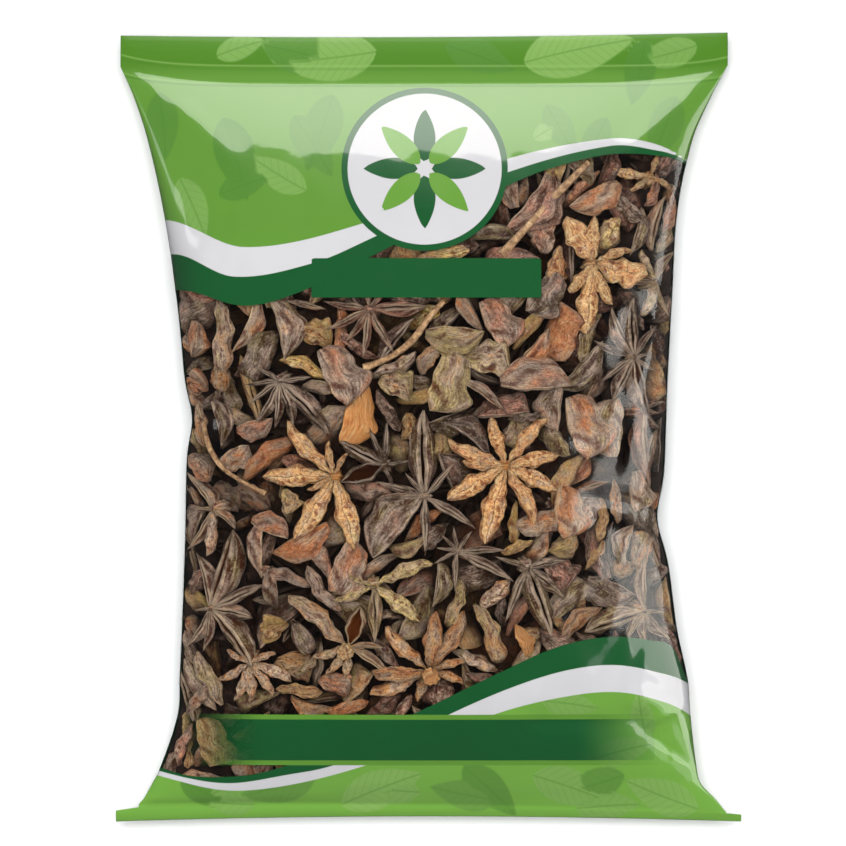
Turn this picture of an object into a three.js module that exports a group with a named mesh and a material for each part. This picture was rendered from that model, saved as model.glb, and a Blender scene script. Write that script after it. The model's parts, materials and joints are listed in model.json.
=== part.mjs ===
// A sealed pillow bag of star anise, lying on its back with the clear window up.
//
// One tube of film is welded flat across both ends, so the bag is wide and thin at its two seal fins and
// narrower and thick between them, where the contents fill it. It is modelled as the one closed body that
// the filled film makes: a front sheet and a back sheet that meet along the side seams and the fin edges.
//
// Units are millimetres. +X runs across the bag, +Y towards the top seal, +Z up through the window. The
// origin is on the floor, under the middle of the bag.

import * as THREE from "three";
import { mergeGeometries, mergeVertices } from "three/addons/utils/BufferGeometryUtils.js";

// ---- Driving dimensions ----

const LENGTH = 182; // end to end, fins included
const THICKNESS = 46; // floor to the crown of the filled body
const SEAM_HEIGHT = 19; // of the side seams above the floor, in the middle
const FIN_HEIGHT = 11; // of the seal fins above the floor
const FIN_DROOP = 1.5; // how far a fin's free edge hangs below its weld
const FIN_HALF_THICKNESS = 0.45;
const TOP_FIN = 7.6; // height of the welded strip above the contents
const BOTTOM_FIN = 3; // height of the welded strip below them
const TOP_SLACK = 4.2; // how far below the top weld the film starts to swell, halfway across
const FLOOR_PRESS = 1.6; // how much deeper the back would sag with no floor under it
const CROWN_RELIEF = 1.6; // what the film's own thickness and relief add at the crown
const CREST = THICKNESS - SEAM_HEIGHT - CROWN_RELIEF; // rise of the smooth front sheet above the seams
const [LENGTHWISE, CROSSWISE] = [2.4, 2.3]; // squareness of its profiles: 2 is round, more is fuller

const TOP_WELD = LENGTH / 2 - TOP_FIN;
const BOTTOM_WELD = -LENGTH / 2 + BOTTOM_FIN;

// The bag's left and right outline at stations along its length: [y, left x, right x].
const OUTLINE = [
  [TOP_WELD, -71.0, 69.0],
  [76, -67.8, 65.0],
  [66, -64.6, 60.7],
  [50, -61.0, 57.4],
  [31, -58.1, 56.2],
  [5, -56.0, 54.9],
  [-20, -56.0, 54.6],
  [-45, -56.8, 57.0],
  [-58, -57.4, 59.6],
  [-66, -57.8, 60.2],
  [-79, -62.0, 61.8],
  [-82.5, -63.8, 62.9],
  [BOTTOM_WELD, -66.8, 68.6],
];
const BOTTOM_FIN_HALF_WIDTH = 72.1;

// Dents where a side seam has buckled inwards: [y, depth, half length].
const LEFT_PINCHES = [[2, 1.4, 6]];
const RIGHT_PINCHES = [[-21, 1.9, 7]];

// Creases of the front sheet: [x1, y1, x2, y2, half width, height], a ridge where height is positive.
const CREASES = [
  [-69, 82, -56, 73, 2.8, 1.0], // corner folds that fan from the ends of the top weld
  [-56, 73, -46, 63, 3.2, 1.0],
  [-66, 74, -56, 58, 3.0, -1.0],
  [68, 82, 60, 76, 2.8, 1.0],
  [60, 76, 48, 65, 3.2, 1.3],
  [64, 72, 56, 58, 2.8, -1.0],
  [-64, -86, -54, -64, 3.2, 1.3], // corner folds of the bottom weld
  [-57, -85, -46, -70, 3.0, -0.9],
  [66, -87, 59, -78, 2.6, 1.2],
  [60, -78, 49, -68, 2.6, -1.5], // the long fold that the right one turns into
  [49, -68, 27, -67, 2.6, -0.9],
  [57, -66, 50, -63, 2.6, 1.1],
  [54, -80, 40, -75, 3.0, 0.9],
  [-57, 2, -38, 6, 3.4, -1.5], // buckles that run in from the pinched side seams
  [56, -21, 40, -17, 3.6, -1.7],
  [-58, 40, -42, 44, 4.0, 0.9],
  [57, 24, 45, 8, 3.4, 1.1], // upright folds along the right of the window
  [50, 20, 47, -14, 3.2, 0.9],
];

// Whole pods that press up against the window: [x, y].
const PRESSING_PODS = [
  [17.6, -8.7],
  [-23.1, -12.2],
  [-0.8, -15.2],
  [38.3, 36.0],
  [44.0, 15.5],
  [-33.7, 10.1],
  [-45.0, -41.4],
  [-17.8, -49.0],
  [2.0, -55.4],
  [-13.5, 26.9],
  [22.0, -35.0],
];
const POD_RADIUS = 13; // of a pod's five to eight arms
const POD_LIFT = 1.1; // how far one lifts the film

const PUCKER_PITCH = 17; // between the puckers along a weld
const PUCKER_HEIGHT = 0.7;
const PUCKER_REACH = 13; // how far they run in from the weld

const BOW_FROM = 62; // how far from the middle the ends start to bow
const TOP_BOW = 0.7;
const TOP_TILT = 0.36;
const BOTTOM_BOW = 1.2;
const BOTTOM_TILT = 0.9; // how far the bottom weld climbs at its left end and drops at its right end

const COLUMNS = 44;
const BODY_ROWS = 56;
const FIN_ROWS = 2;
const CROWDING = 0.6; // 0 spaces the mesh lines evenly, 1 by a cosine

// ---- The form of the bag ----

const clamp = THREE.MathUtils.clamp;
const lerp = THREE.MathUtils.lerp;

// Smooth curve through rows of [y, value, ...], y falling from row to row, read in one column.
function along(rows, y, column) {
  if (y >= rows[0][0]) return rows[0][column];
  const last = rows.length - 1;
  if (y <= rows[last][0]) return rows[last][column];
  const i = rows.findIndex((row, k) => k < last && y <= row[0] && y >= rows[k + 1][0]);
  const slope = (a, b) => (rows[b][column] - rows[a][column]) / (rows[b][0] - rows[a][0]);
  const span = rows[i + 1][0] - rows[i][0];
  const t = (y - rows[i][0]) / span;
  const start = slope(Math.max(i - 1, 0), i + 1) * span;
  const end = slope(i, Math.min(i + 2, last)) * span;
  const [a, b] = [rows[i][column], rows[i + 1][column]];
  return (
    (2 * t ** 3 - 3 * t ** 2 + 1) * a +
    (t ** 3 - 2 * t ** 2 + t) * start +
    (3 * t ** 2 - 2 * t ** 3) * b +
    (t ** 3 - t ** 2) * end
  );
}

const bump = (distance, halfWidth) => Math.exp(-((distance / halfWidth) ** 2));

// How much the side seam is pinched in at y.
function pinch(pinches, y) {
  return pinches.reduce((sum, [at, depth, half]) => sum + depth * bump(y - at, half), 0);
}

// The bag's left and right edge at y.
function edges(y) {
  if (y < BOTTOM_WELD - 0.5) return [-BOTTOM_FIN_HALF_WIDTH, BOTTOM_FIN_HALF_WIDTH];
  return [
    along(OUTLINE, y, 1) + pinch(LEFT_PINCHES, y),
    along(OUTLINE, y, 2) - pinch(RIGHT_PINCHES, y),
  ];
}

// -1 at the bottom weld, 0 halfway, 1 where the film starts to swell under the top weld and beyond.
// s runs from -1 at the left side seam to 1 at the right one.
function station(y, s = 1) {
  const top = TOP_WELD - TOP_SLACK * (1 - Math.abs(s) ** 6);
  return clamp((2 * y - top - BOTTOM_WELD) / (top - BOTTOM_WELD), -1, 1);
}

// A rounded profile that is 1 at 0 and falls to 0 at -1 and 1.
const dome = (t, squareness, steepness) => (1 - Math.abs(t) ** squareness) ** steepness;

// Height of the seam line, which drops from the body's sides to the fins.
function seamHeight(y) {
  const body = lerp(FIN_HEIGHT, SEAM_HEIGHT, dome(station(y), 3, 1));
  const past = Math.max(0, y - TOP_WELD) / TOP_FIN + Math.max(0, BOTTOM_WELD - y) / BOTTOM_FIN;
  return body - FIN_DROOP * past ** 2;
}

// Height of one crease above the smooth front sheet at (x, y).
function crease([x1, y1, x2, y2, halfWidth, height], x, y) {
  const [dx, dy] = [x2 - x1, y2 - y1];
  const length = Math.hypot(dx, dy);
  const t = ((x - x1) * dx + (y - y1) * dy) / length ** 2;
  const off = ((x - x1) * dy - (y - y1) * dx) / length;
  const beyond = Math.max(0, -t, t - 1) * length;
  return height * bump(off, halfWidth) * bump(beyond, halfWidth * 1.5);
}

// All relief of the front sheet: creases, pods behind the window and puckers at the welds.
function relief(x, y) {
  const folds = CREASES.reduce((sum, c) => sum + crease(c, x, y), 0);
  const pods = PRESSING_PODS.reduce((sum, [px, py]) => sum + bump(Math.hypot(x - px, y - py), POD_RADIUS), 0);
  const fromTop = Math.exp((y - TOP_WELD) / PUCKER_REACH);
  const fromBottom = Math.exp((BOTTOM_WELD - y) / PUCKER_REACH);
  const pucker = Math.cos((2 * Math.PI * x) / PUCKER_PITCH) * (fromTop + fromBottom);
  return folds + POD_LIFT * pods + PUCKER_HEIGHT * pucker;
}

// A point of a sheet: s runs from -1 at the left edge to 1 at the right, y along the bag.
function sheetPoint(s, y, isFront) {
  const [left, right] = edges(y);
  const x = lerp(left, right, (s + 1) / 2);
  const u = station(y, s);
  const seam = seamHeight(y);
  const edgeFade = Math.min(1, 12 * (1 - Math.abs(s)), 12 * (1 - Math.abs(y) / (LENGTH / 2)));
  const skin = FIN_HALF_THICKNESS * edgeFade;
  if (isFront) {
    const swell = dome(u, LENGTHWISE, 1) * dome(s, CROSSWISE, 1 / CROSSWISE);
    return [x, seam + skin + CREST * swell + relief(x, y) * Math.min(1, 2.2 * swell)];
  }
  const sag = dome(u, 4, 0.8) * dome(s, 3.4, 1 / 3.4);
  return [x, Math.max(0, seam - skin - (SEAM_HEIGHT + FLOOR_PRESS) * sag)];
}

// The fins' free edges bow in a little between their corners, and the top one rises to the right.
function bow(x, y) {
  if (y > 0) {
    const across = x / OUTLINE[0][2];
    const reach = clamp((y - BOW_FROM) / (LENGTH / 2 - BOW_FROM), 0, 1) ** 2;
    return -(TOP_BOW * (1 - across ** 2) + TOP_TILT * (1 - across)) * reach;
  }
  const across = clamp(x / BOTTOM_FIN_HALF_WIDTH, -1, 1);
  const fromEdge = clamp((y + LENGTH / 2) / BOTTOM_FIN, 0, 1);
  const weld = -BOTTOM_TILT * across * fromEdge * bump(y - BOTTOM_WELD, 1.5);
  return weld + BOTTOM_BOW * (1 - across ** 2) * clamp((-y - BOW_FROM) / (LENGTH / 2 - BOW_FROM), 0, 1) ** 2;
}

// The i-th of count steps from 0 to 1, crowded towards both ends.
function crowded(i, count) {
  const even = i / count;
  const cosine = (1 - Math.cos(Math.PI * even)) / 2;
  return lerp(even, cosine, CROWDING);
}

// The rows of the mesh: a few across each fin and the rest along the body.
function rowStations() {
  const rows = [];
  for (let i = 0; i < FIN_ROWS; i++) rows.push(LENGTH / 2 - (TOP_FIN * i) / FIN_ROWS);
  for (let i = 0; i <= BODY_ROWS; i++) rows.push(lerp(TOP_WELD, BOTTOM_WELD, crowded(i, BODY_ROWS)));
  for (let i = 1; i <= FIN_ROWS; i++) rows.push(BOTTOM_WELD - (BOTTOM_FIN * i) / FIN_ROWS);
  return rows;
}

// The corners that lie in a single triangle get the quad's other diagonal, or they would be cut off.
function turnCornerDiagonals(index, quads) {
  for (const quad of [0, quads - 1]) {
    const [a, b, d, , c] = index.slice(6 * quad, 6 * quad + 6);
    index.set([a, b, c, a, c, d], 6 * quad);
  }
}

// One sheet: a flat grid whose lines crowd towards the seams and welds, laid on the bag's form.
function sheet(isFront) {
  const rows = rowStations();
  const grid = new THREE.PlaneGeometry(1, 1, COLUMNS, rows.length - 1);
  const position = grid.getAttribute("position");
  for (let i = 0; i < position.count; i++) {
    const column = i % (COLUMNS + 1);
    const y = rows[Math.floor(i / (COLUMNS + 1))];
    const [x, z] = sheetPoint(2 * crowded(column, COLUMNS) - 1, y, isFront);
    position.setXYZ(i, x, y + bow(x, y), z);
  }
  turnCornerDiagonals(grid.index.array, COLUMNS * (rows.length - 1));
  if (!isFront) grid.index.array.reverse(); // the back sheet faces down
  grid.deleteAttribute("normal");
  grid.deleteAttribute("uv");
  return grid;
}

// The two sheets share the vertices of their edges, which closes the body.
function bagGeometry() {
  const closed = mergeVertices(mergeGeometries([sheet(true), sheet(false)]), 1e-3);
  closed.computeVertexNormals();
  return closed;
}

const film = new THREE.MeshStandardMaterial({ color: 0x6aa341, roughness: 0.28, metalness: 0 });
const bag = new THREE.Mesh(bagGeometry(), film);
bag.name = "bag";

const pack = new THREE.Group();
pack.add(bag);

export default pack;
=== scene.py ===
"""A sealed pillow bag of star anise, lying on its back with its clear window up.

The film is one closed skin, printed at both ends and clear between them. Behind the window lies a heap of
dried pods over a core in painted shade: whorls of boat-shaped carpels, loose carpels and a few stalks. Each
kind is one mesh. Every pod is raised until it meets the film or the pods above it, and the film presses its
highest points back inside.

Lengths are in millimetres until a mesh is made. +X runs across the bag, +Y towards the top seal and +Z up
through the window. The floor is at Z = 0.
"""

import json
import math
from collections import namedtuple

import bpy
import numpy as np
from mathutils import Matrix, Vector

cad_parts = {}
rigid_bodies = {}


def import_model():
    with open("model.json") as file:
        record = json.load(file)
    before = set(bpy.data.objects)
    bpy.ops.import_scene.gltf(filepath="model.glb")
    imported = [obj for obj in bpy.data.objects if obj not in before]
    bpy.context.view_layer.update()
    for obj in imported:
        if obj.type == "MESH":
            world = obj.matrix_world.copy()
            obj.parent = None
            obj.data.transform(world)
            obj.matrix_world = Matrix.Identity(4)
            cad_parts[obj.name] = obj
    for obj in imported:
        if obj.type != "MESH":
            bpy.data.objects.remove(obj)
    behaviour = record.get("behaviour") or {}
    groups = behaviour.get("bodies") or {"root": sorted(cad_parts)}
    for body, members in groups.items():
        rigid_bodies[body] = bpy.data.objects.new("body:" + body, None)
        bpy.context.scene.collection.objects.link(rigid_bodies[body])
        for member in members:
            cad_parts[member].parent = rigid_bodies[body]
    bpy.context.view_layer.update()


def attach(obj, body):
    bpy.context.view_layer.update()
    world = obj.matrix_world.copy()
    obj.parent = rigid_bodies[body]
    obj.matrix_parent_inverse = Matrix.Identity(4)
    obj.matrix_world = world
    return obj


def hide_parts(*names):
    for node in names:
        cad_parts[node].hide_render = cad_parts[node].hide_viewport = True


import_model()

MM = 0.001
FAR = 1e3  # farther than anything on the bag
BODY = "root"
BAG_NODE = "bag"


# ---- Sizes of the bag ----

LENGTH = 182.0  # end to end, fins included
THICKNESS = 46.0  # floor to the crown of the filled body
SEAM_HEIGHT = 19.0  # of the side seams above the floor, in the middle
FIN_HEIGHT = 11.0  # of the seal fins above the floor
FIN_DROOP = 1.5  # how far a fin's free edge hangs below its weld
FIN_HALF_THICKNESS = 0.45
TOP_FIN = 7.6  # height of the welded strip above the contents
BOTTOM_FIN = 3.0  # height of the welded strip below them
TOP_SLACK = 4.2  # how far below the top weld the film starts to swell, halfway across
FLOOR_PRESS = 1.6  # how much deeper the back would sag with no floor under it
CROWN_RELIEF = 1.6  # what the film's own thickness and relief add at the crown
CREST = THICKNESS - SEAM_HEIGHT - CROWN_RELIEF  # rise of the smooth front sheet above the seams
LENGTHWISE, CROSSWISE = 2.4, 2.3  # squareness of its profiles: 2 is round, more is fuller
BACK_LENGTHWISE, BACK_CROSSWISE = 4, 3.4
EDGE_ROUNDING = 12  # the film has its full thickness a twelfth of the way in from an edge to the middle

TOP_WELD = LENGTH / 2 - TOP_FIN
BOTTOM_WELD = -LENGTH / 2 + BOTTOM_FIN
BODY_LENGTH = TOP_WELD - BOTTOM_WELD

# The bag's left and right outline at stations along its length: y, left x, right x.
OUTLINE = [
    (TOP_WELD, -71.0, 69.0),
    (76.0, -67.8, 65.0),
    (66.0, -64.6, 60.7),
    (50.0, -61.0, 57.4),
    (31.0, -58.1, 56.2),
    (5.0, -56.0, 54.9),
    (-20.0, -56.0, 54.6),
    (-45.0, -56.8, 57.0),
    (-58.0, -57.4, 59.6),
    (-66.0, -57.8, 60.2),
    (-79.0, -62.0, 61.8),
    (-82.5, -63.8, 62.9),
    (BOTTOM_WELD, -66.8, 68.6),
]
BOTTOM_FIN_HALF_WIDTH = 72.1

# Dents where a side seam has buckled inwards: y, depth, half length.
LEFT_PINCHES = [(2.0, 1.4, 6.0)]
RIGHT_PINCHES = [(-21.0, 1.9, 7.0)]

# Creases of the front sheet: x1, y1, x2, y2, half width, height, a ridge where height is positive.
CREASES = [
    (-69, 82, -56, 73, 2.8, 1.0),  # corner folds that fan from the ends of the top weld
    (-56, 73, -46, 63, 3.2, 1.0),
    (-66, 74, -56, 58, 3.0, -1.0),
    (68, 82, 60, 76, 2.8, 1.0),
    (60, 76, 48, 65, 3.2, 1.3),
    (64, 72, 56, 58, 2.8, -1.0),
    (-64, -86, -54, -64, 3.2, 1.3),  # corner folds of the bottom weld
    (-57, -85, -46, -70, 3.0, -0.9),
    (66, -87, 59, -78, 2.6, 1.2),
    (60, -78, 49, -68, 2.6, -1.5),  # the long fold that the right one turns into
    (49, -68, 27, -67, 2.6, -0.9),
    (57, -66, 50, -63, 2.6, 1.1),
    (54, -80, 40, -75, 3.0, 0.9),
    (-57, 2, -38, 6, 3.4, -1.5),  # buckles that run in from the pinched side seams
    (56, -21, 40, -17, 3.6, -1.7),
    (-58, 40, -42, 44, 4.0, 0.9),
    (57, 24, 45, 8, 3.4, 1.1),  # upright folds along the right of the window
    (50, 20, 47, -14, 3.2, 0.9),
]

# Finer creases, which the film has on top of those.
FINE_CREASES = [
    (48.2, -68.6, 57.0, -65.0, 0.9, 0.7),  # the small facet by the right of the bottom weld
    (57.0, -65.0, 60.4, -77.6, 0.9, 0.6),
    (48.2, -68.6, 60.4, -77.6, 0.9, -0.6),
    (-59.5, -78.9, -56.7, -88.0, 1.2, 0.5),
    (-66.0, -82.0, -55.0, -70.0, 1.0, 0.4),
    (-30.0, -86.0, -8.0, -82.0, 1.4, 0.4),
    (-4.0, -87.0, 24.0, -84.0, 1.6, 0.4),
    (30.0, -82.0, 44.0, -86.0, 1.2, -0.4),
    (52.0, 30.0, 47.5, 4.0, 1.1, 0.4),
    (45.0, 24.0, 43.5, -6.0, 1.1, -0.35),
    (52.0, -2.0, 44.0, -30.0, 1.0, 0.35),
    (-54.0, 24.0, -49.0, -2.0, 1.1, 0.3),
]

# Whole pods that press up against the window: x, y.
PRESSING_PODS = [
    (17.6, -8.7),
    (-23.1, -12.2),
    (-0.8, -15.2),
    (38.3, 36.0),
    (44.0, 15.5),
    (-33.7, 10.1),
    (-45.0, -41.4),
    (-17.8, -49.0),
    (2.0, -55.4),
    (-13.5, 26.9),
    (22.0, -35.0),
]
POD_RADIUS = 13.0  # of a pod's five to eight arms
POD_LIFT = 1.1  # how far one lifts the film

TOP_FOLD = 78.5  # where a thin fold runs along under the top weld, halfway across
TOP_FOLD_RISE = 3.0  # how far it climbs towards both its ends
WELD_EDGE = 4.7  # from that fold up to the weld's own pressed edge

PUCKER_PITCH = 17.0  # between the puckers along a weld
PUCKER_HEIGHT = 0.7
PUCKER_REACH = 13.0  # how far they run in from the weld
FINE_PUCKER_PITCH = 5.3
FINE_PUCKER_HEIGHT = 0.16
FINE_PUCKER_REACH = 6.0

BOW_FROM = 62.0  # how far from the middle the ends start to bow
TOP_BOW = 0.7
TOP_TILT = 0.36
BOTTOM_BOW = 1.2
BOTTOM_TILT = 0.9  # how far the bottom weld climbs at its left end and drops at its right end

FILM_COLUMNS = 172
FILM_ROWS = 208
FIN_ROWS = 7
CROWDING = 0.35  # 0 spaces the mesh lines evenly, 1 by a cosine
ROUNDED = 0.15  # how much of the film turns over at its edges


# ---- The form of the bag, as the solid has it ----


def along(rows, y, column):
    """Smooth curve through rows of (y, value, ...), read in one column at every y."""
    table = np.array(sorted(rows), dtype=float)
    at, value = table[:, 0], table[:, column]
    y = np.clip(y, at[0], at[-1])
    i = np.clip(np.searchsorted(at, y) - 1, 0, len(at) - 2)
    before, after = np.maximum(i - 1, 0), np.minimum(i + 2, len(at) - 1)
    span = at[i + 1] - at[i]
    t = (y - at[i]) / span
    start = (value[i + 1] - value[before]) / (at[i + 1] - at[before]) * span
    end = (value[after] - value[i]) / (at[after] - at[i]) * span
    return (
        (2 * t**3 - 3 * t**2 + 1) * value[i]
        + (t**3 - 2 * t**2 + t) * start
        + (3 * t**2 - 2 * t**3) * value[i + 1]
        + (t**3 - t**2) * end
    )


def bump(distance, half_width):
    return np.exp(-((distance / half_width) ** 2))


def pinch(pinches, y):
    return sum(depth * bump(y - at, half) for at, depth, half in pinches)


def edges(y):
    """The bag's left and right edge at y."""
    left = along(OUTLINE, y, 1) + pinch(LEFT_PINCHES, y)
    right = along(OUTLINE, y, 2) - pinch(RIGHT_PINCHES, y)
    on_fin = y < BOTTOM_WELD - 0.5
    return np.where(on_fin, -BOTTOM_FIN_HALF_WIDTH, left), np.where(on_fin, BOTTOM_FIN_HALF_WIDTH, right)


def station(y, s=1.0):
    """-1 at the bottom weld, 0 halfway, 1 where the film starts to swell under the top weld and beyond."""
    top = TOP_WELD - TOP_SLACK * (1 - np.abs(s) ** 6)
    return np.clip((2 * y - top - BOTTOM_WELD) / (top - BOTTOM_WELD), -1, 1)


def dome(t, squareness, steepness):
    """A rounded profile that is 1 at 0 and falls to 0 at -1 and 1."""
    return np.maximum(0, 1 - np.abs(t) ** squareness) ** steepness


def seam_height(y):
    body = FIN_HEIGHT + (SEAM_HEIGHT - FIN_HEIGHT) * dome(station(y), 3, 1)
    past = np.maximum(0, y - TOP_WELD) / TOP_FIN + np.maximum(0, BOTTOM_WELD - y) / BOTTOM_FIN
    return body - FIN_DROOP * past**2


def crease(fold, x, y):
    """Height of one crease above the smooth front sheet."""
    x1, y1, x2, y2, half_width, height = fold
    dx, dy = x2 - x1, y2 - y1
    length = math.hypot(dx, dy)
    t = ((x - x1) * dx + (y - y1) * dy) / length**2
    off = ((x - x1) * dy - (y - y1) * dx) / length
    beyond = np.maximum(0, np.maximum(-t, t - 1)) * length
    return height * bump(off, half_width) * bump(beyond, half_width * 1.5)


def puckers(x, y, pitch, height, reach):
    """Waves along both welds that die out towards the middle."""
    nearness = np.exp((y - TOP_WELD) / reach) + np.exp((BOTTOM_WELD - y) / reach)
    return height * np.cos(2 * np.pi * x / pitch) * np.minimum(nearness, 1)


def ripples(x, y):
    """Slack film between the pods that it lies on: broad, shallow and uneven."""
    return (
        0.16 * np.sin(0.31 * x + 0.17 * y + 1.2 * np.sin(0.11 * y))
        + 0.13 * np.sin(0.23 * x - 0.36 * y + 1.4 * np.sin(0.13 * x + 2.0))
        + 0.10 * np.sin(0.52 * x + 0.41 * y + 1.1 * np.sin(0.19 * y + 0.7))
        + 0.07 * np.sin(0.83 * x - 0.29 * y + 1.6 * np.sin(0.27 * x))
    )


def slack(y):
    """How slack the film is: calm over the printed ends, where no pods press on it."""
    header = np.clip((66 - y) / 22, 0, 1)
    foot = np.clip((y + 84) / 24, 0, 1)
    return 0.10 + 0.90 * np.minimum(header, foot)


def relief(x, y):
    """All relief of the front sheet: creases, pods behind the window and puckers at the welds."""
    folds = sum(crease(fold, x, y) for fold in CREASES + FINE_CREASES)
    pods = sum(bump(np.hypot(x - px, y - py), POD_RADIUS) for px, py in PRESSING_PODS)
    broad = puckers(x, y, PUCKER_PITCH, PUCKER_HEIGHT, PUCKER_REACH)
    fine = puckers(x + 2.0 * np.sin(0.13 * x), y, FINE_PUCKER_PITCH, FINE_PUCKER_HEIGHT, FINE_PUCKER_REACH)
    return folds + POD_LIFT * pods + broad + fine + slack(y) * ripples(x, y)


def place_across(x, y):
    """-1 at the bag's left edge and 1 at its right one."""
    left, right = edges(y)
    return np.clip(2 * (x - left) / (right - left) - 1, -1, 1)


def skin_height(s, y):
    """Half the thickness of the welded film, which rounds off to nothing at all four edges."""
    inwards = EDGE_ROUNDING * np.minimum(1 - np.abs(s), 1 - np.abs(y) / (LENGTH / 2))
    return FIN_HALF_THICKNESS * np.clip(inwards, 0, 1)


def front_height(x, y):
    """Height of the front sheet above the floor."""
    s = place_across(x, y)
    skin = skin_height(s, y)
    swell = dome(station(y, s), LENGTHWISE, 1) * dome(s, CROSSWISE, 1 / CROSSWISE)
    return seam_height(y) + skin + CREST * swell + relief(x, y) * np.minimum(1, 2.2 * swell)


LAP_X, LAP_HALF_WIDTH, LAP_STEP = 4.0, 7.0, 0.25  # the back's lengthwise lap, which lies on the floor


def back_height(x, y):
    """Height of the back sheet above the floor."""
    s = place_across(x, y)
    skin = skin_height(s, y)
    sag = dome(station(y, s), BACK_LENGTHWISE, 0.8) * dome(s, BACK_CROSSWISE, 1 / BACK_CROSSWISE)
    beside_lap = LAP_STEP * np.clip(np.abs(x - LAP_X) - LAP_HALF_WIDTH, 0, 1)
    hanging = seam_height(y) - skin - (SEAM_HEIGHT + FLOOR_PRESS) * sag
    return np.maximum(beside_lap * np.minimum(1, sag * 3), hanging)


def bow(x, y):
    """The fins' free edges bow in a little between their corners, and the top one rises to the right."""
    across_top = x / OUTLINE[0][2]
    top_reach = np.clip((y - BOW_FROM) / (LENGTH / 2 - BOW_FROM), 0, 1) ** 2
    across_bottom = np.minimum(1, np.abs(x) / BOTTOM_FIN_HALF_WIDTH)
    bottom_reach = np.clip((-y - BOW_FROM) / (LENGTH / 2 - BOW_FROM), 0, 1) ** 2
    top = -(TOP_BOW * (1 - across_top**2) + TOP_TILT * (1 - across_top)) * top_reach
    from_edge = np.clip((y + LENGTH / 2) / BOTTOM_FIN, 0, 1)
    weld = -BOTTOM_TILT * x / BOTTOM_FIN_HALF_WIDTH * from_edge * bump(y - BOTTOM_WELD, 1.5)
    return top + weld + BOTTOM_BOW * (1 - across_bottom**2) * bottom_reach


def unbowed(x, y):
    """Where along the straight film a place on the bowed one comes from."""
    return y - bow(x, y)


def crowded(count):
    """count + 1 places from 0 to 1, a little closer together towards both ends."""
    even = np.linspace(0, 1, count + 1)
    return even + CROWDING * ((1 - np.cos(np.pi * even)) / 2 - even)


# ---- The print ----

# Borders of the printed fields across the bag: x, y. Between the two white waves lie the dark bands and the
# window; outside them is the light green ground.
TOP_WAVE_OUTER = [(-72, 44), (-60, 47.4), (-42, 41), (-15.5, 46.2), (2, 54.5), (19, 61.6), (41.5, 66.1),
                  (51.2, 65.1), (59, 61.6), (72, 52)]
TOP_WAVE_INNER = [(-72, 35), (-58.5, 39.6), (-44.5, 34.3), (-26.6, 37.2), (-12.5, 43.2), (2, 50.5),
                  (18.7, 58.4), (41.5, 64.4), (51.2, 63.6), (59, 61.2), (72, 51)]
WINDOW_TOP = [(-72, 27), (-57.4, 31.3), (-41.7, 27.6), (-27.7, 31.3), (-13.0, 38.8), (2, 46.5), (18.7, 55.4),
              (27, 58.8), (40.6, 62.3), (51.2, 62.3), (58.8, 60.5), (72, 50)]
WINDOW_BOTTOM = [(-72, -73.8), (-61.5, -78.4), (-53.7, -80.3), (-41.7, -80), (-33, -77.8), (-16, -71.5),
                 (0.3, -63.7), (14.8, -56.6), (29.3, -50.1), (41.5, -47.8), (51.2, -48.8), (55.8, -50.4),
                 (59.9, -58.7), (72, -70)]
BOTTOM_WAVE_INNER = [(-72, -75.6), (-61.7, -79.2), (-46.6, -81.9), (-32, -79.8), (-22.4, -77.8),
                     (-6.6, -71.6), (5.4, -65.3), (19.7, -59.1), (31.8, -55.4), (42, -54.3), (51.2, -55.8),
                     (60.1, -59.3), (72, -72)]
BOTTOM_WAVE_OUTER = [(-72, -77.6), (-62.2, -80.2), (-46.6, -83.6), (-32, -82.3), (-15, -77.8), (2.6, -71),
                     (16, -65.3), (29.3, -61.9), (41.5, -60.5), (51.2, -62.1), (60.4, -66.5), (72, -80)]

BADGE = (-0.9, 59.1)  # centre of the round badge
BADGE_RADIUS, BADGE_RING = 19.0, 1.4
BADGE_PETALS, PETAL_FROM, PETAL_LENGTH, PETAL_HALF_WIDTH = 8, 1.6, 12.4, 2.5

NAME_BAR = (-26.6, 25.6, 29.4, 38.4)  # a bare dark field where a name would go: x1, x2, y1, y2
LOWER_BAR = (-56.0, 53.0, -77.6, -65.7)
LOWER_BAR_LINE = 1.15  # width of the light line along both its edges
BACK_LABEL = (-36.0, 36.0, -38.0, 34.0)  # the bare pale label field on the back
BACK_LABEL_CORNER = 5.0
WINDOW_WRAP = 0.6  # how far the clear film runs round the side seams
NOWHERE = -9.0  # a distance inside a field that this side of the bag doesn't have

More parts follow.
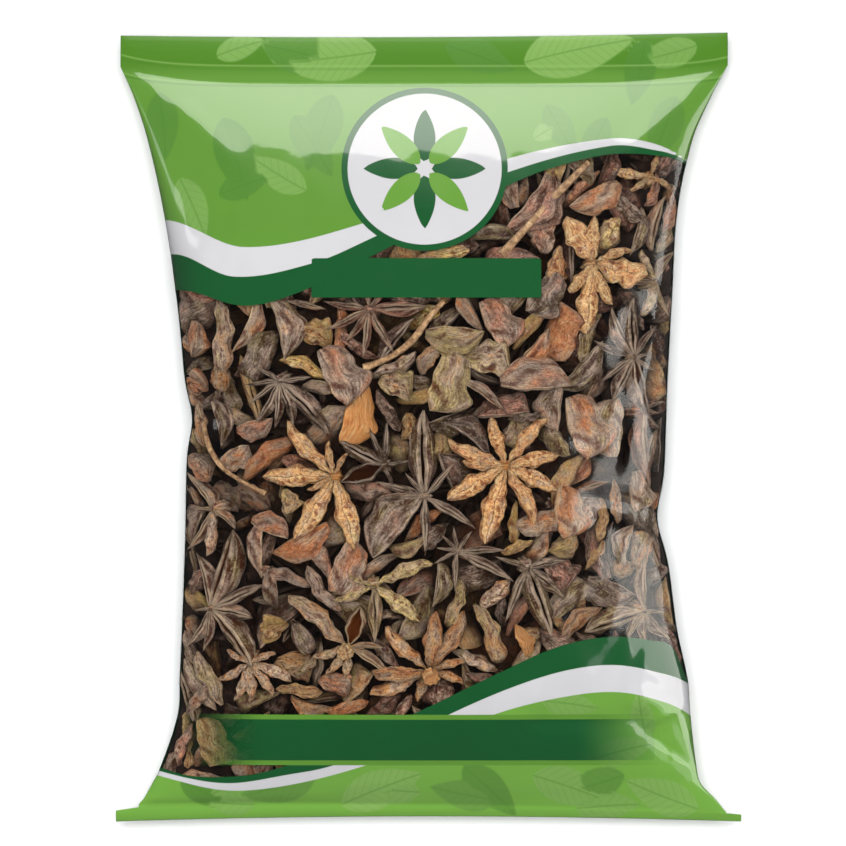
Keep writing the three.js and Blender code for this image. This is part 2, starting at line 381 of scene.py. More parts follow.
# Leaf silhouettes on the light green: x, y of the stalk, length, heading in degrees, tone from dark to light.
LEAVES = [
    (-49, 85.5, 12, 18, 0.8), (-38, 88, 22, -14, 0.2), (-12, 86.5, 24, 186, 0.85), (4, 88, 17, -20, 0.15),
    (22, 84, 26, 12, 0.9), (50, 89.5, 16, -102, 0.1), (62, 88, 15, 195, 0.7),
    (-47, 71, 20, -74, 0.1), (-31, 71.5, 17, -58, 0.18), (-62, 77, 16, -84, 0.15), (-57, 57, 15, -66, 0.7),
    (-22, 76.5, 19, -108, 0.15), (-28, 54, 15, 148, 0.75), (27, 74, 14, -62, 0.2), (41, 71, 13, -120, 0.15),
    (57, 76, 17, -112, 0.2), (24, 66, 9, 30, 0.7), (-48, 53, 13, 20, 0.12),
    (-57, -81.5, 13, -28, 0.15), (-26, -80, 18, 196, 0.3), (-20, -87, 20, 22, 0.85), (8, -77.8, 17, -44, 0.2),
    (16, -86, 16, 168, 0.35), (24, -80, 19, -20, 0.75), (45, -80, 16, 196, 0.25), (62, -88, 18, 158, 0.8),
    (50, -72, 12, 100, 0.75), (26, -62.5, 13, -8, 0.7), (-40, -87, 12, 176, 0.7), (66, -80, 12, 120, 0.2),
    (-2, -84, 14, 174, 0.8), (38, -76, 14, 14, 0.8), (-52, -86, 11, 30, 0.7), (34, -88, 15, 4, 0.7),
]
LEAF_SLENDERNESS = 0.23  # half the width of a leaf for its length
VEIN_PITCH = 2.1


def wave_height(wave, x):
    return along(wave, x, 1)


def in_box(x, y, box, corner=0.0):
    """Distance inside a box with rounded corners, negative outside it."""
    x1, x2, y1, y2 = box
    out_x = np.abs(x - (x1 + x2) / 2) - (x2 - x1) / 2 + corner
    out_y = np.abs(y - (y1 + y2) / 2) - (y2 - y1) / 2 + corner
    outside = np.hypot(np.maximum(out_x, 0), np.maximum(out_y, 0))
    return corner - outside - np.minimum(np.maximum(out_x, out_y), 0)


def in_petals(x, y, first):
    """Distance inside every second petal of the badge's flower, counted from the first."""
    angle = np.arctan2(y - BADGE[1], x - BADGE[0])
    turn = 4 * np.pi / BADGE_PETALS
    offset = np.pi / 2 + first * turn / 2
    local = (angle - offset + turn / 2) % turn - turn / 2
    reach = np.hypot(x - BADGE[0], y - BADGE[1])
    out, off = reach * np.cos(local) - PETAL_FROM, np.abs(reach * np.sin(local))
    share = np.clip(out / PETAL_LENGTH, 0, 1)
    width = PETAL_HALF_WIDTH * np.sin(np.pi * share**0.8) ** 0.8
    return np.minimum(width - off, np.minimum(out, PETAL_LENGTH - out))


def nearest_leaf(x, y):
    """How deep each place lies inside a leaf, and its place along and across that leaf, with its tone."""
    best = np.full(x.shape, -FAR)
    found = np.zeros(x.shape + (3,))
    for leaf_x, leaf_y, length, heading, tone in LEAVES:
        c, s = math.cos(math.radians(heading)), math.sin(math.radians(heading))
        on = (x - leaf_x) * c + (y - leaf_y) * s
        off = (y - leaf_y) * c - (x - leaf_x) * s - 0.06 * on * (1 - on / length)
        share = np.clip(on / length, 0, 1)
        width = length * LEAF_SLENDERNESS * np.sin(np.pi * share**0.75) ** 0.85
        inside = np.minimum(width - np.abs(off), np.minimum(on, length - on))
        deeper = inside > best
        best = np.where(deeper, inside, best)
        found[deeper] = np.stack([on, off, np.full(x.shape, tone)], axis=-1)[deeper]
    return best, found


def inside_window(x, y):
    """Distance inside the clear window of the front, negative outside it."""
    return np.minimum(wave_height(WINDOW_TOP, x) - y, y - wave_height(WINDOW_BOTTOM, x))


def front_print(x, y):
    """What is printed where on the front: each value is the distance inside that field, negative outside."""
    below_top = wave_height(TOP_WAVE_INNER, x) - y
    above_bottom = y - wave_height(BOTTOM_WAVE_INNER, x)
    return {
        "middle": np.minimum(below_top, above_bottom),
        "clear": inside_window(x, y),
        "white": np.maximum(
            np.minimum(wave_height(TOP_WAVE_OUTER, x) - y, -below_top),
            np.minimum(y - wave_height(BOTTOM_WAVE_OUTER, x), -above_bottom),
        ),
        "badge": BADGE_RADIUS - np.hypot(x - BADGE[0], y - BADGE[1]),
        "petals_dark": in_petals(x, y, 0),
        "petals_light": in_petals(x, y, 1),
        "name_bar": in_box(x, y, NAME_BAR),
        "lower_bar": in_box(x, y, LOWER_BAR),
        "label": np.full(x.shape, NOWHERE),
    }


def back_print(x, y, z):
    """The same fields on the back, where the waves run straight on from side to side round a bare label."""
    left, right = edges(y)
    share = np.clip((x - left) / (right - left), 0, 1)
    share = share * share * (3 - 2 * share)

    def carried_round(wave):
        return wave_height(wave, left) * (1 - share) + wave_height(wave, right) * share

    below_top = carried_round(TOP_WAVE_INNER) - y
    above_bottom = y - carried_round(BOTTOM_WAVE_INNER)
    past_seam = np.minimum(x - left, right - x) + np.maximum(0, seam_height(y) - z)
    window = np.minimum(carried_round(WINDOW_TOP) - y, y - carried_round(WINDOW_BOTTOM))
    nothing = np.full(x.shape, NOWHERE)
    return {
        "middle": np.minimum(below_top, above_bottom),
        "clear": np.minimum(window, WINDOW_WRAP - past_seam),
        "white": np.maximum(
            np.minimum(carried_round(TOP_WAVE_OUTER) - y, -below_top),
            np.minimum(y - carried_round(BOTTOM_WAVE_OUTER), -above_bottom),
        ),
        "badge": nothing,
        "petals_dark": nothing,
        "petals_light": nothing,
        "name_bar": nothing,
        "lower_bar": nothing,
        "label": in_box(x, y, BACK_LABEL, BACK_LABEL_CORNER),
    }


# ---- Meshes and node trees ----


def mesh_of(name, points, faces):
    """A mesh from points in millimetres, smooth shaded."""
    mesh = bpy.data.meshes.new(name)
    mesh.from_pydata((np.asarray(points) * MM).tolist(), [], [tuple(map(int, face)) for face in faces])
    mesh.validate()
    mesh.shade_smooth()
    return mesh


def mark(mesh, name, values):
    """Writes one number or vector for each point of a mesh."""
    values = np.asarray(values, dtype=np.float32)
    kind = "FLOAT_VECTOR" if values.ndim == 2 else "FLOAT"
    layer = mesh.attributes.new(name, kind, "POINT")
    layer.data.foreach_set("vector" if values.ndim == 2 else "value", values.ravel())


def grid_faces(index):
    """Quads of a grid of point numbers whose rows run down and columns run right, facing the viewer."""
    a, b, c, d = index[:-1, :-1], index[1:, :-1], index[1:, 1:], index[:-1, 1:]
    return np.stack([a, b, c, d], axis=-1).reshape(-1, 4)


INNER = (slice(1, -1), slice(1, -1))  # the points of a grid that aren't on its edge


def on_both(upper, lower):
    """Values for every point of an upper sheet and then for the inner points of the lower one."""
    return np.concatenate([upper.reshape(-1, *upper.shape[2:]), lower[INNER].reshape(-1, *lower.shape[2:])])


def closed_skin(x, y, upper, lower):
    """Points and faces of two sheets on one grid that share its edge."""
    above = np.arange(x.size).reshape(x.shape)
    below = above.copy()
    below[INNER] = x.size + np.arange(x[INNER].size).reshape(x[INNER].shape)
    points = on_both(np.stack([x, y, upper], axis=-1), np.stack([x, y, lower], axis=-1))
    return points, np.concatenate([grid_faces(above), grid_faces(below)[:, ::-1]])


def piece(name, mesh, material=None):
    """A finished piece of the bag, which stands in for the solid."""
    made = bpy.data.objects.new(name, mesh)
    bpy.context.scene.collection.objects.link(made)
    if material:
        mesh.materials.clear()
        mesh.materials.append(material)
    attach(made, BODY)
    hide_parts(BAG_NODE)
    return made


def node(tree, kind, values=None, **settings):
    """Adds a node. Each value is put on the input of that name or number, and a socket is linked to it."""
    made = tree.nodes.new(kind)
    for name, setting in settings.items():
        setattr(made, name, setting)
    for name, value in (values or {}).items():
        if isinstance(value, bpy.types.NodeSocket):
            tree.links.new(value, made.inputs[name])
        else:
            made.inputs[name].default_value = value
    return made


def maths(tree, operation, *values):
    return node(tree, "ShaderNodeMath", dict(enumerate(values)), operation=operation).outputs[0]


def attribute(tree, name, output="Fac"):
    return node(tree, "ShaderNodeAttribute", attribute_name=name).outputs[output]


def blend(tree, share, first, second):
    """A colour that goes from the first to the second as share goes from 0 to 1."""
    mixed = node(tree, "ShaderNodeMix", {0: share, 6: first, 7: second}, data_type="RGBA")
    return mixed.outputs[2]


def share_between(tree, value, low, high):
    """0 where the value is low, 1 where it is high, and in proportion between them."""
    return node(tree, "ShaderNodeMapRange", {"Value": value, "From Min": low, "From Max": high}).outputs[0]


def within(tree, name, soft=0.07, depth=0.0):
    """1 where a printed field is at least that deep, 0 outside it, with a soft border in millimetres."""
    return share_between(tree, attribute(tree, name), depth - soft, depth + soft)


def ramp(tree, share, stops):
    """A colour ramp through stops of (place, colour)."""
    made = node(tree, "ShaderNodeValToRGB", {0: share})
    while len(made.color_ramp.elements) < len(stops):
        made.color_ramp.elements.new(0.5)
    for element, (place, colour) in zip(made.color_ramp.elements, stops):
        element.position = place
        element.color = colour
    return made.outputs[0]


def noise(tree, place, scale, detail=2.0, roughness=0.5):
    values = {"Vector": place, "Scale": scale, "Detail": detail, "Roughness": roughness}
    return node(tree, "ShaderNodeTexNoise", values).outputs["Fac"]


def new_material(name):
    material = bpy.data.materials.new(name)
    material.use_nodes = True
    material.node_tree.nodes.clear()
    return material, material.node_tree


def finish_material(tree, surface):
    node(tree, "ShaderNodeOutputMaterial", {"Surface": surface})


def ink(red, green, blue):
    """A colour given as it looks on a screen, from 0 to 255, as the linear one that shaders take."""

    def linear(value):
        value /= 255
        return value / 12.92 if value <= 0.04045 else ((value + 0.055) / 1.055) ** 2.4

    return linear(red), linear(green), linear(blue), 1.0


# ---- The film ----

INK_LIGHT = 1.45  # how much lighter the studio makes the print than its own colours


def printed(red, green, blue):
    """An ink, given as it looks in the studio's light."""
    seen = ink(red, green, blue)
    return (*(channel / INK_LIGHT for channel in seen[:3]), 1.0)


LIGHT_GREEN = printed(106, 160, 60)
# The foot's green is painted lighter than the ground above it, to make up for the shade on the foot's slope.
FOOT_GREEN_PAINTED_LIGHTER = printed(125, 182, 74)
WELD_GREEN = printed(86, 141, 40)  # both sheets together look a little deeper
FOOT_STARTS, FOOT_FULL = -48.0, -66.0  # the stretch of y in which the light green turns into the foot's painted lighter green
LEAF_DARK = printed(76, 134, 44)
LEAF_LIGHT = printed(152, 196, 106)
DARK_GREEN = printed(26, 94, 48)
BAND_WHITE = printed(226, 225, 228)
LABEL_WHITE = printed(222, 226, 216)
PETAL_GREEN = printed(112, 168, 62)


def leaf_colour(tree, ground):
    """The light green with its leaf silhouettes, each with a midrib and slanting veins."""
    place = node(tree, "ShaderNodeSeparateXYZ", {0: attribute(tree, "leaf_place", "Vector")})
    on, off, tone = place.outputs
    away = maths(tree, "ABSOLUTE", off)
    rib = maths(tree, "LESS_THAN", away, 0.22)
    slanted = maths(tree, "SUBTRACT", on, maths(tree, "MULTIPLY", away, 0.9))
    wave = maths(tree, "SINE", maths(tree, "MULTIPLY", slanted, 2 * math.pi / VEIN_PITCH))
    vein = maths(tree, "MULTIPLY", maths(tree, "GREATER_THAN", wave, 0.86), 0.45)
    inner = blend(tree, tone, LEAF_DARK, LEAF_LIGHT)
    veined = blend(tree, maths(tree, "MULTIPLY", maths(tree, "MAXIMUM", rib, vein), 0.40), inner, LEAF_DARK)
    strength = maths(tree, "MULTIPLY", within(tree, "leaf", 0.25), 0.8)
    return blend(tree, strength, ground, veined)


# Painted shade and painted highlights along the top of the bag, at the thin fold and the weld's pressed edge:
# millimetres past the thin fold, half width, strength and tone.
PAINTED_FOLD_LINES = [
    (0.0, 0.32, 0.75, LEAF_DARK),  # the fold's painted shade, and the painted highlight that catches on it
    (0.6, 0.40, 0.35, LEAF_LIGHT),
    (WELD_EDGE, 0.35, 0.55, LEAF_LIGHT),  # the weld's pressed edge as a painted highlight, and its painted shade
    (WELD_EDGE - 0.8, 0.35, 0.30, LEAF_DARK),
]


def fine_line(tree, place, half_width):
    """1 on a thin line where the signed distance past_fold has this value, 0 beside it."""
    away = maths(tree, "ABSOLUTE", maths(tree, "SUBTRACT", attribute(tree, "past_fold"), place))
    return share_between(tree, away, half_width, 0.0)


BAR_FADES = [(-57.0, -36.5), (60.0, 33.0)]  # the x where the lower bar is gone and where it is whole


def lower_bar_share(tree):
    """How solid the lower bar is: it fades out towards both its ends."""
    place = node(tree, "ShaderNodeTexCoord").outputs["Object"]
    x = node(tree, "ShaderNodeSeparateXYZ", {0: place}).outputs[0]
    share = within(tree, "lower_bar")
    for gone, whole in BAR_FADES:
        ends = {"Value": x, "From Min": gone * MM, "From Max": whole * MM}
        fade = node(tree, "ShaderNodeMapRange", ends, interpolation_type="SMOOTHSTEP").outputs[0]
        share = maths(tree, "MULTIPLY", share, fade)
    return share


def film_material(name, see_through):
    """Film with opaque inks: the ground, painted lighter towards the foot, the bands, the badge and the two
    bars, in printing order, and over them painted shade and highlights along the top fold and the weld's
    edge.

    Where it is see-through it is clear film beside the inks.
    """
    material, tree = new_material(name)
    bar = lower_bar_share(tree)
    place = node(tree, "ShaderNodeTexCoord").outputs["Object"]
    along_bag = node(tree, "ShaderNodeSeparateXYZ", {0: place}).outputs[1]

    to_lighter_foot = share_between(tree, along_bag, FOOT_STARTS * MM, FOOT_FULL * MM)
    to_weld = share_between(tree, along_bag, (TOP_WELD - 3.0) * MM, (TOP_WELD + 0.5) * MM)
    ground = blend(tree, to_weld, blend(tree, to_lighter_foot, LIGHT_GREEN, FOOT_GREEN_PAINTED_LIGHTER), WELD_GREEN)
    colour = leaf_colour(tree, ground)
    colour = blend(tree, within(tree, "middle"), colour, DARK_GREEN)
    colour = blend(tree, within(tree, "white"), colour, BAND_WHITE)
    bar_colour = blend(tree, within(tree, "lower_bar", depth=LOWER_BAR_LINE), LIGHT_GREEN, DARK_GREEN)
    colour = blend(tree, bar, colour, bar_colour)
    colour = blend(tree, within(tree, "name_bar"), colour, DARK_GREEN)
    colour = blend(tree, within(tree, "badge"), colour, DARK_GREEN)
    colour = blend(tree, within(tree, "badge", depth=BADGE_RING), colour, BAND_WHITE)
    colour = blend(tree, within(tree, "petals_dark"), colour, DARK_GREEN)
    colour = blend(tree, within(tree, "petals_light"), colour, PETAL_GREEN)
    colour = blend(tree, within(tree, "label"), colour, LABEL_WHITE)
    for at, half_width, strength, tone in PAINTED_FOLD_LINES:
        line = maths(tree, "MULTIPLY", fine_line(tree, at, half_width), strength)
        colour = blend(tree, line, colour, tone)

    crinkle = node(tree, "ShaderNodeBump", {
        "Height": noise(tree, place, 90.0, 3.0),
        "Strength": 0.22 if see_through else 0.12,
        "Distance": 0.8 * MM,
    })
    welded = node(tree, "ShaderNodeMapRange", {
        "Value": along_bag,
        "From Min": (TOP_WELD + 0.5) * MM,
        "From Max": (TOP_WELD + 2.0) * MM,
        "To Min": 0.8,
        "To Max": 0.15,
    })
    inked = node(tree, "ShaderNodeBsdfPrincipled", {
        "Base Color": colour,
        "Roughness": 0.4,
        "Specular IOR Level": 0.15,
        "Coat Weight": welded.outputs[0],
        "Coat Roughness": 0.07,
        "Normal": crinkle.outputs[0],
        "Coat Normal": crinkle.outputs[0],
    })
    if not see_through:
        finish_material(tree, inked.outputs[0])
        return material

    over_window = maths(tree, "MAXIMUM", within(tree, "badge"), within(tree, "name_bar"))
    over_window = maths(tree, "MAXIMUM", over_window, bar)
    opaque = maths(tree, "MAXIMUM", maths(tree, "SUBTRACT", 1.0, within(tree, "clear")), over_window)
    gloss = node(tree, "ShaderNodeBsdfGlossy", {"Roughness": 0.14, "Normal": crinkle.outputs[0]})
    through = node(tree, "ShaderNodeBsdfTransparent")
    mirror = node(tree, "ShaderNodeFresnel", {"IOR": 1.5, "Normal": crinkle.outputs[0]})
    shine = maths(tree, "MINIMUM", mirror.outputs[0], 0.085)
    clear = node(tree, "ShaderNodeMixShader", {0: shine, 1: through.outputs[0], 2: gloss.outputs[0]})
    film = node(tree, "ShaderNodeMixShader", {0: opaque, 1: clear.outputs[0], 2: inked.outputs[0]})
    finish_material(tree, film.outputs[0])
    return material


PRINT_MARGIN = 1.0  # how far inside a printed field the film is taken as printed all over
SOLID_BAR = (-36.0, 32.0)  # where the lower bar is taken as solid, between its fading ends


def printed_all_over(mesh, x, fields):
    """Tells of each face of the film whether it is opaque up to its corners."""
    solid = (fields["lower_bar"] > PRINT_MARGIN) & (x > SOLID_BAR[0]) & (x < SOLID_BAR[1])
    solid |= fields["clear"] < -PRINT_MARGIN
    solid |= np.maximum(fields["badge"], fields["name_bar"]) > PRINT_MARGIN
    corners = np.empty(len(mesh.loops), dtype=np.int32)
    mesh.loops.foreach_get("vertex_index", corners)
    return solid[corners].reshape(-1, 4).all(axis=1)


def film_rows():
    """Stations of the film's mesh lines: a few across each fin and the rest along the body."""
    edge = LENGTH / 2
    top = np.linspace(edge, TOP_WELD, FIN_ROWS, endpoint=False)
    body = TOP_WELD - BODY_LENGTH * crowded(FILM_ROWS)
    bottom = np.linspace(BOTTOM_WELD, -edge, FIN_ROWS + 1)[1:]
    beside_edges = [edge - ROUNDED, ROUNDED - edge]
    return np.sort(np.concatenate([top, body, bottom, beside_edges]))[::-1]


def film_columns():
    """Shares across the film for its lengthwise mesh lines, with one close to each seam."""
    beside_seam = ROUNDED / BOTTOM_FIN_HALF_WIDTH / 2
    return np.sort(np.concatenate([crowded(FILM_COLUMNS), [beside_seam, 1 - beside_seam]]))


def film_piece():
    """Both sheets as one closed skin, with the printed fields written on its points."""
    share, y = np.meshgrid(film_columns(), film_rows())
    left, right = edges(y)
    x = left + (right - left) * share
    z_front, z_back = front_height(x, y), back_height(x, y)
    y_bowed = y + bow(x, y)
    mesh = mesh_of("film", *closed_skin(x, y_bowed, z_front, z_back))

    on_front = front_print(x, y_bowed)
    on_back = back_print(x, y_bowed, z_back)
    fields = {name: on_both(on_front[name], on_back[name]) for name in on_front}
    for name, values in fields.items():
        mark(mesh, name, values)
    leaf, place = nearest_leaf(x, y_bowed)
    back_leaf, back_place = nearest_leaf(-x, y_bowed)
    mark(mesh, "leaf", on_both(leaf, back_leaf))
    mark(mesh, "leaf_place", on_both(place, back_place))
    past_fold = y_bowed - TOP_FOLD - TOP_FOLD_RISE * (x / BOTTOM_FIN_HALF_WIDTH) ** 8
    mark(mesh, "past_fold", on_both(past_fold, past_fold))
    mesh.materials.append(film_material("printed_film", see_through=False))
    mesh.materials.append(film_material("clear_film", see_through=True))
    printed_only = printed_all_over(mesh, on_both(x, x), fields)
    mesh.polygons.foreach_set("material_index", np.where(printed_only, 0, 1).astype(np.int32))
    return piece("film", mesh)


# ---- Pods: one carpel, a whorl of carpels and the hub in its middle ----

WALL = 0.5  # thickness of a carpel's dry wall
FINE = (24, 23, 4)  # stations along a carpel, points round its outside and round its inside
COARSE = (12, 11, 4)
FOOT = 0.8  # from a pod's axis to where its carpels begin

Carpel = namedtuple("Carpel", "length depth width gape shoulder beak blunt folds lip foot")

# Kinds of carpel. Depth runs from the lips to the keel, gape is the slit between the lips, shoulder tells
# how broad the walls stay up to the slit, beak is the rise of the tip, and blunt runs from a pointed tip to a
# square one. Folds is the height of the dried wall's folds, lip runs from lips that have shrunk shut in a
# crumpled wall to two pale plain ones, and foot is the share of its depth that it has where it starts.
CARPELS = {
    "ridge": Carpel(14.0, 5.2, 5.2, 0.35, 3.2, 1.2, 0.10, 0.22, 1.00, 0.35),
    "wide": Carpel(14.0, 5.4, 6.6, 0.40, 3.4, 1.0, 0.20, 0.28, 1.00, 0.35),
    "slim": Carpel(14.0, 4.6, 3.4, 0.30, 3.0, 1.4, 0.05, 0.18, 1.00, 0.35),
    "parted": Carpel(13.6, 5.4, 5.2, 1.40, 3.2, 1.0, 0.15, 0.24, 0.90, 0.35),
    "rough": Carpel(13.0, 3.8, 3.0, 0.00, 11.0, 0.4, 0.70, 0.46, 0.15, 0.30),
    "petal": Carpel(13.0, 3.6, 3.7, 0.00, 13.0, 0.3, 0.66, 0.44, 0.20, 0.30),
    "sheet": Carpel(13.0, 2.8, 7.0, 0.00, 14.0, 0.4, 0.40, 0.26, 0.10, 0.30),
    "side": Carpel(14.5, 6.8, 3.6, 0.45, 3.2, 1.2, 0.25, 0.32, 0.75, 0.40),
    "moon": Carpel(15.5, 8.0, 4.4, 0.50, 3.2, 0.3, 0.50, 0.36, 0.70, 0.45),
    "slab": Carpel(13.5, 8.6, 3.8, 0.45, 3.2, 0.0, 0.85, 0.44, 0.60, 0.66),
    "lump": Carpel(8.6, 6.4, 5.4, 0.20, 4.0, 0.0, 0.75, 0.44, 0.20, 0.60),
    "husk": Carpel(13.0, 5.8, 2.6, 0.00, 3.2, 0.0, 0.85, 0.16, 0.15, 0.30),
    "strip": Carpel(12.0, 4.6, 2.0, 0.00, 3.2, 0.0, 0.80, 0.30, 0.15, 0.40),
    "open": Carpel(14.0, 6.0, 6.6, 3.60, 3.2, 1.0, 0.30, 0.28, 0.90, 0.35),
}
WHORL_KINDS = {"dark": ["ridge", "wide", "slim", "parted"], "tan": ["rough", "petal", "sheet"]}
LOOSE_KINDS = ["side", "moon", "slab", "lump", "rough", "petal", "ridge", "slim", "wide", "sheet"]


def fullness(t, foot, blunt):
    """How full a carpel is along its length: foot at its start, 1 at its fullest, and almost 0 at its tip."""
    fullest = 0.42 + 0.26 * blunt
    rounded = 1 - 0.65 * blunt * np.exp(-((t / 0.07) ** 2))
    rise = (foot + (1 - foot) * np.sin(np.pi / 2 * np.clip(t / fullest, 0, 1))) * rounded
    past = np.clip((t - fullest) / (1 - fullest), 0, 1)
    fall = np.maximum(0, 1 - past ** (1.5 + 2.5 * blunt)) ** (1.1 - 0.55 * blunt)
    return np.maximum(0.05, np.where(t < fullest, rise, fall))


def wander(rng, t, size):
    """A smooth random line along a carpel that strays about that far to either side."""
    slow, fast = rng.uniform(0, 2 * np.pi, 2)
    return size * (0.6 * np.sin(2.2 * np.pi * t + slow) + 0.4 * np.sin(5.3 * np.pi * t + fast))


def fold_height(rng, along_mm, round_mm):
    """Folds that run mostly along a dried wall, from -1 in the valleys to 1 on their sharp ridges."""
    total = np.zeros(along_mm.shape)
    for pitch, share in ((4.8, 0.42), (3.1, 0.34), (2.0, 0.24)):
        lean = rng.uniform(-0.6, 0.6)
        stray = rng.uniform(0.4, 1.1) * np.sin(along_mm / rng.uniform(1.3, 2.4) + rng.uniform(0, 6.3))
        across = math.cos(lean) * round_mm + math.sin(lean) * along_mm
        total += share * (1 - 2 * np.abs(np.sin(np.pi * across / pitch + stray + rng.uniform(0, 6.3))))
    return total


def crumple_height(rng, along_mm, round_mm):
    """Crumples in every direction, from -1 in the sharp creases to 1 on the bulges between them."""
    total = np.zeros(along_mm.shape)
    for pitch in (5.0, 3.6, 2.7, 2.1):
        heading = rng.uniform(0, np.pi)
        across = math.cos(heading) * round_mm + math.sin(heading) * along_mm
        beside = math.sin(heading) * round_mm - math.cos(heading) * along_mm
        stray = 0.7 * np.sin(beside / rng.uniform(0.7, 1.3) + rng.uniform(0, 6.3))
        total += 0.36 * (2 * np.abs(np.sin(np.pi * across / pitch + stray + rng.uniform(0, 6.3))) - 1.1)
    return np.clip(total, -1, 1)


def carpel_mesh(name, detail, seed):
    """One boat-shaped carpel along +X with its seam of two lips up, and a thin wall round its hollow.

    Its points carry edge, millimetres from the lips, negative on the inner wall. They also carry fold, the
    height of the folds, lip, how plainly the lips show, and grain, millimetres along and round the wall.
    """
    kind = CARPELS[name]
    shut = 1 - kind.lip
    stations, outside, inside = detail
    rng = np.random.default_rng(seed)
    arch, lean, twist = rng.uniform(-0.7, 0.5), rng.uniform(-0.6, 0.6), rng.uniform(-0.35, 0.35)
    if kind.depth > kind.width:
        arch += 1.7 * kind.blunt  # a blunt carpel that lies on its side has a bulging seam as well
    t = (np.linspace(0, 1, stations) ** 0.9)[:, None]
    deep = kind.depth * fullness(t, kind.foot, kind.blunt) * (1 + wander(rng, t, 0.10 + 0.10 * shut))
    full = fullness(t, 0.18 + 0.35 * kind.blunt**2, kind.blunt)
    half = kind.width / 2 * full * (1 + wander(rng, t, 0.08 + 0.14 * shut))
    part = kind.gape / 2 * np.sin(np.pi * t**0.8) ** 0.7 * (1 + wander(rng, t, 0.4)) + 0.05 * kind.lip
    past_foot = np.minimum(1, 4 * t)
    crest = kind.beak * t**3 + arch * np.sin(np.pi * t) + wander(rng, t, 0.15 + 0.35 * shut) * past_foot
    sway = lean * np.sin(np.pi * t) + wander(rng, t, 0.15 + 0.25 * shut) * past_foot
    closing = min(1.0, 0.92 + 0.10 * shut)

    def wall_at(away):
        """Half the width of the wall from the keel, where away is 0, up to the lips, where it is 1."""
        return half * (1 - (1 - away) ** 2.6) * (1 - closing * away**kind.shoulder) + part * away**2.2

    q = np.sin(np.linspace(-np.pi / 2, np.pi / 2, outside))[None, :]
    away = np.abs(q)
    y = np.sign(q) * wall_at(away) * (1 + np.sign(q) * wander(rng, t, 0.08 + 0.12 * shut))
    z = -deep * (1 - away ** (1.35 + 0.8 * shut))
    round_mm = q * (kind.depth + kind.width / 2)
    folds = fold_height(rng, t * kind.length + 0 * q, round_mm + 0 * t)
    crumples = crumple_height(rng, t * kind.length + 0 * q, round_mm + 0 * t)
    push = kind.folds * (1 - 0.3 * shut) * folds + (0.10 + 0.26 * shut) * crumples
    push = push * (1 - kind.lip * away**8) * np.sin(np.pi * np.minimum(1, t + 0.1)) ** 0.5
    out_y, out_z = y, z + 0.45 * deep
    reach = np.hypot(out_y, out_z) + 0.3
    rim = kind.lip * 0.22 * np.exp(-(((1 - away) / 0.10) ** 2)) * (1 - t**4)
    y, z = y + push * out_y / reach + np.sign(q) * rim, z + push * out_z / reach

    step = np.hypot(np.diff(y, axis=1), np.diff(z, axis=1))
    from_left = np.concatenate([np.zeros((stations, 1)), np.cumsum(step, axis=1)], axis=1)
    edge = np.minimum(from_left, from_left[:, -1:] - from_left)

    p = np.linspace(1, -1, inside)[None, :]
    near = np.abs(p)
    thin = np.minimum(WALL, 0.6 * half) * (1 - 0.55 * near)
    y_in = np.sign(p) * np.maximum(0, wall_at(near) * (1 - 0.4 * shut) - thin)
    z_in = -np.maximum(0, deep * (1 - 0.3 * shut) - WALL) * (1 - near**1.35) - 0.05 - 0.8 * shut
    y_all, z_all = np.concatenate([y, y_in], axis=1), np.concatenate([z, z_in], axis=1)
    angle = twist * (t - 0.4)
    x_all = FOOT + t * kind.length + 0 * y_all
    points = np.stack([
        x_all,
        y_all * np.cos(angle) - z_all * np.sin(angle) + sway,
        y_all * np.sin(angle) + z_all * np.cos(angle) + crest,
    ], axis=-1)

    around = outside + inside
    index = np.arange(stations * around).reshape(stations, around)
    wrapped = np.concatenate([index, index[:, :1]], axis=1)
    faces = grid_faces(wrapped)[:, ::-1].tolist()
    faces.append(index[0].tolist())
    faces.append(index[-1][::-1].tolist())
    mesh = mesh_of(f"{name}_{seed}", points.reshape(-1, 3), faces)
    inner_edge = -(1 - near) * (kind.depth + 0 * t) - 0.2
    wrinkled = (1 - 0.5 * shut) * folds + 0.5 * shut * crumples
    mark(mesh, "edge", np.concatenate([edge, inner_edge], axis=1).ravel())
    mark(mesh, "fold", np.concatenate([wrinkled, 0 * inner_edge], axis=1).ravel())
    mark(mesh, "lip", np.full(x_all.size, kind.lip))
    round_all = np.concatenate([round_mm + 0 * t, p * kind.depth + 0 * t], axis=1)
    apart = np.full(x_all.shape, 7.0 * seed)
    mark(mesh, "grain", np.stack([x_all, round_all, apart], axis=-1).reshape(-1, 3))
    return mesh


HUB_LOBES = 8
HUB_PROFILE = [  # from its top down to the scar of the stalk: radius, z
    (0.0, -0.5), (0.9, -0.6), (1.2, -1.2), (1.35, -2.6), (1.5, -3.4), (1.25, -3.9), (0.75, -3.6), (0.0, -3.4),
]


def hub_mesh():
    """The short lobed column in a pod's middle, with the round scar of its stalk underneath."""
    top, *rings, bottom = HUB_PROFILE
    sides = 3 * HUB_LOBES
    angle = np.arange(sides) * 2 * np.pi / sides
    lobes = np.cos(HUB_LOBES * angle)
    points, folds = [(0, 0, top[1])], [0.0]
    for radius, z in rings:
        radii = radius * (1 + 0.16 * lobes)
        points += [(r * math.cos(a), r * math.sin(a), z) for r, a in zip(radii, angle)]
        folds += (0.8 * lobes).tolist()
    points.append((0, 0, bottom[1]))
    folds.append(-0.4)
    ring = [[1 + r * sides + k for k in range(sides)] + [1 + r * sides] for r in range(len(rings))]
    faces = grid_faces(np.array(ring)).tolist()
    faces += [(0, ring[0][k], ring[0][k + 1]) for k in range(sides)]
    last = len(points) - 1
    faces += [(last, ring[-1][k + 1], ring[-1][k]) for k in range(sides)]
    mesh = mesh_of("hub", points, faces)
    mark(mesh, "edge", np.full(len(points), 3.0))
    mark(mesh, "fold", folds)
    mark(mesh, "lip", np.zeros(len(points)))
    mark(mesh, "grain", np.array(points))
    return mesh


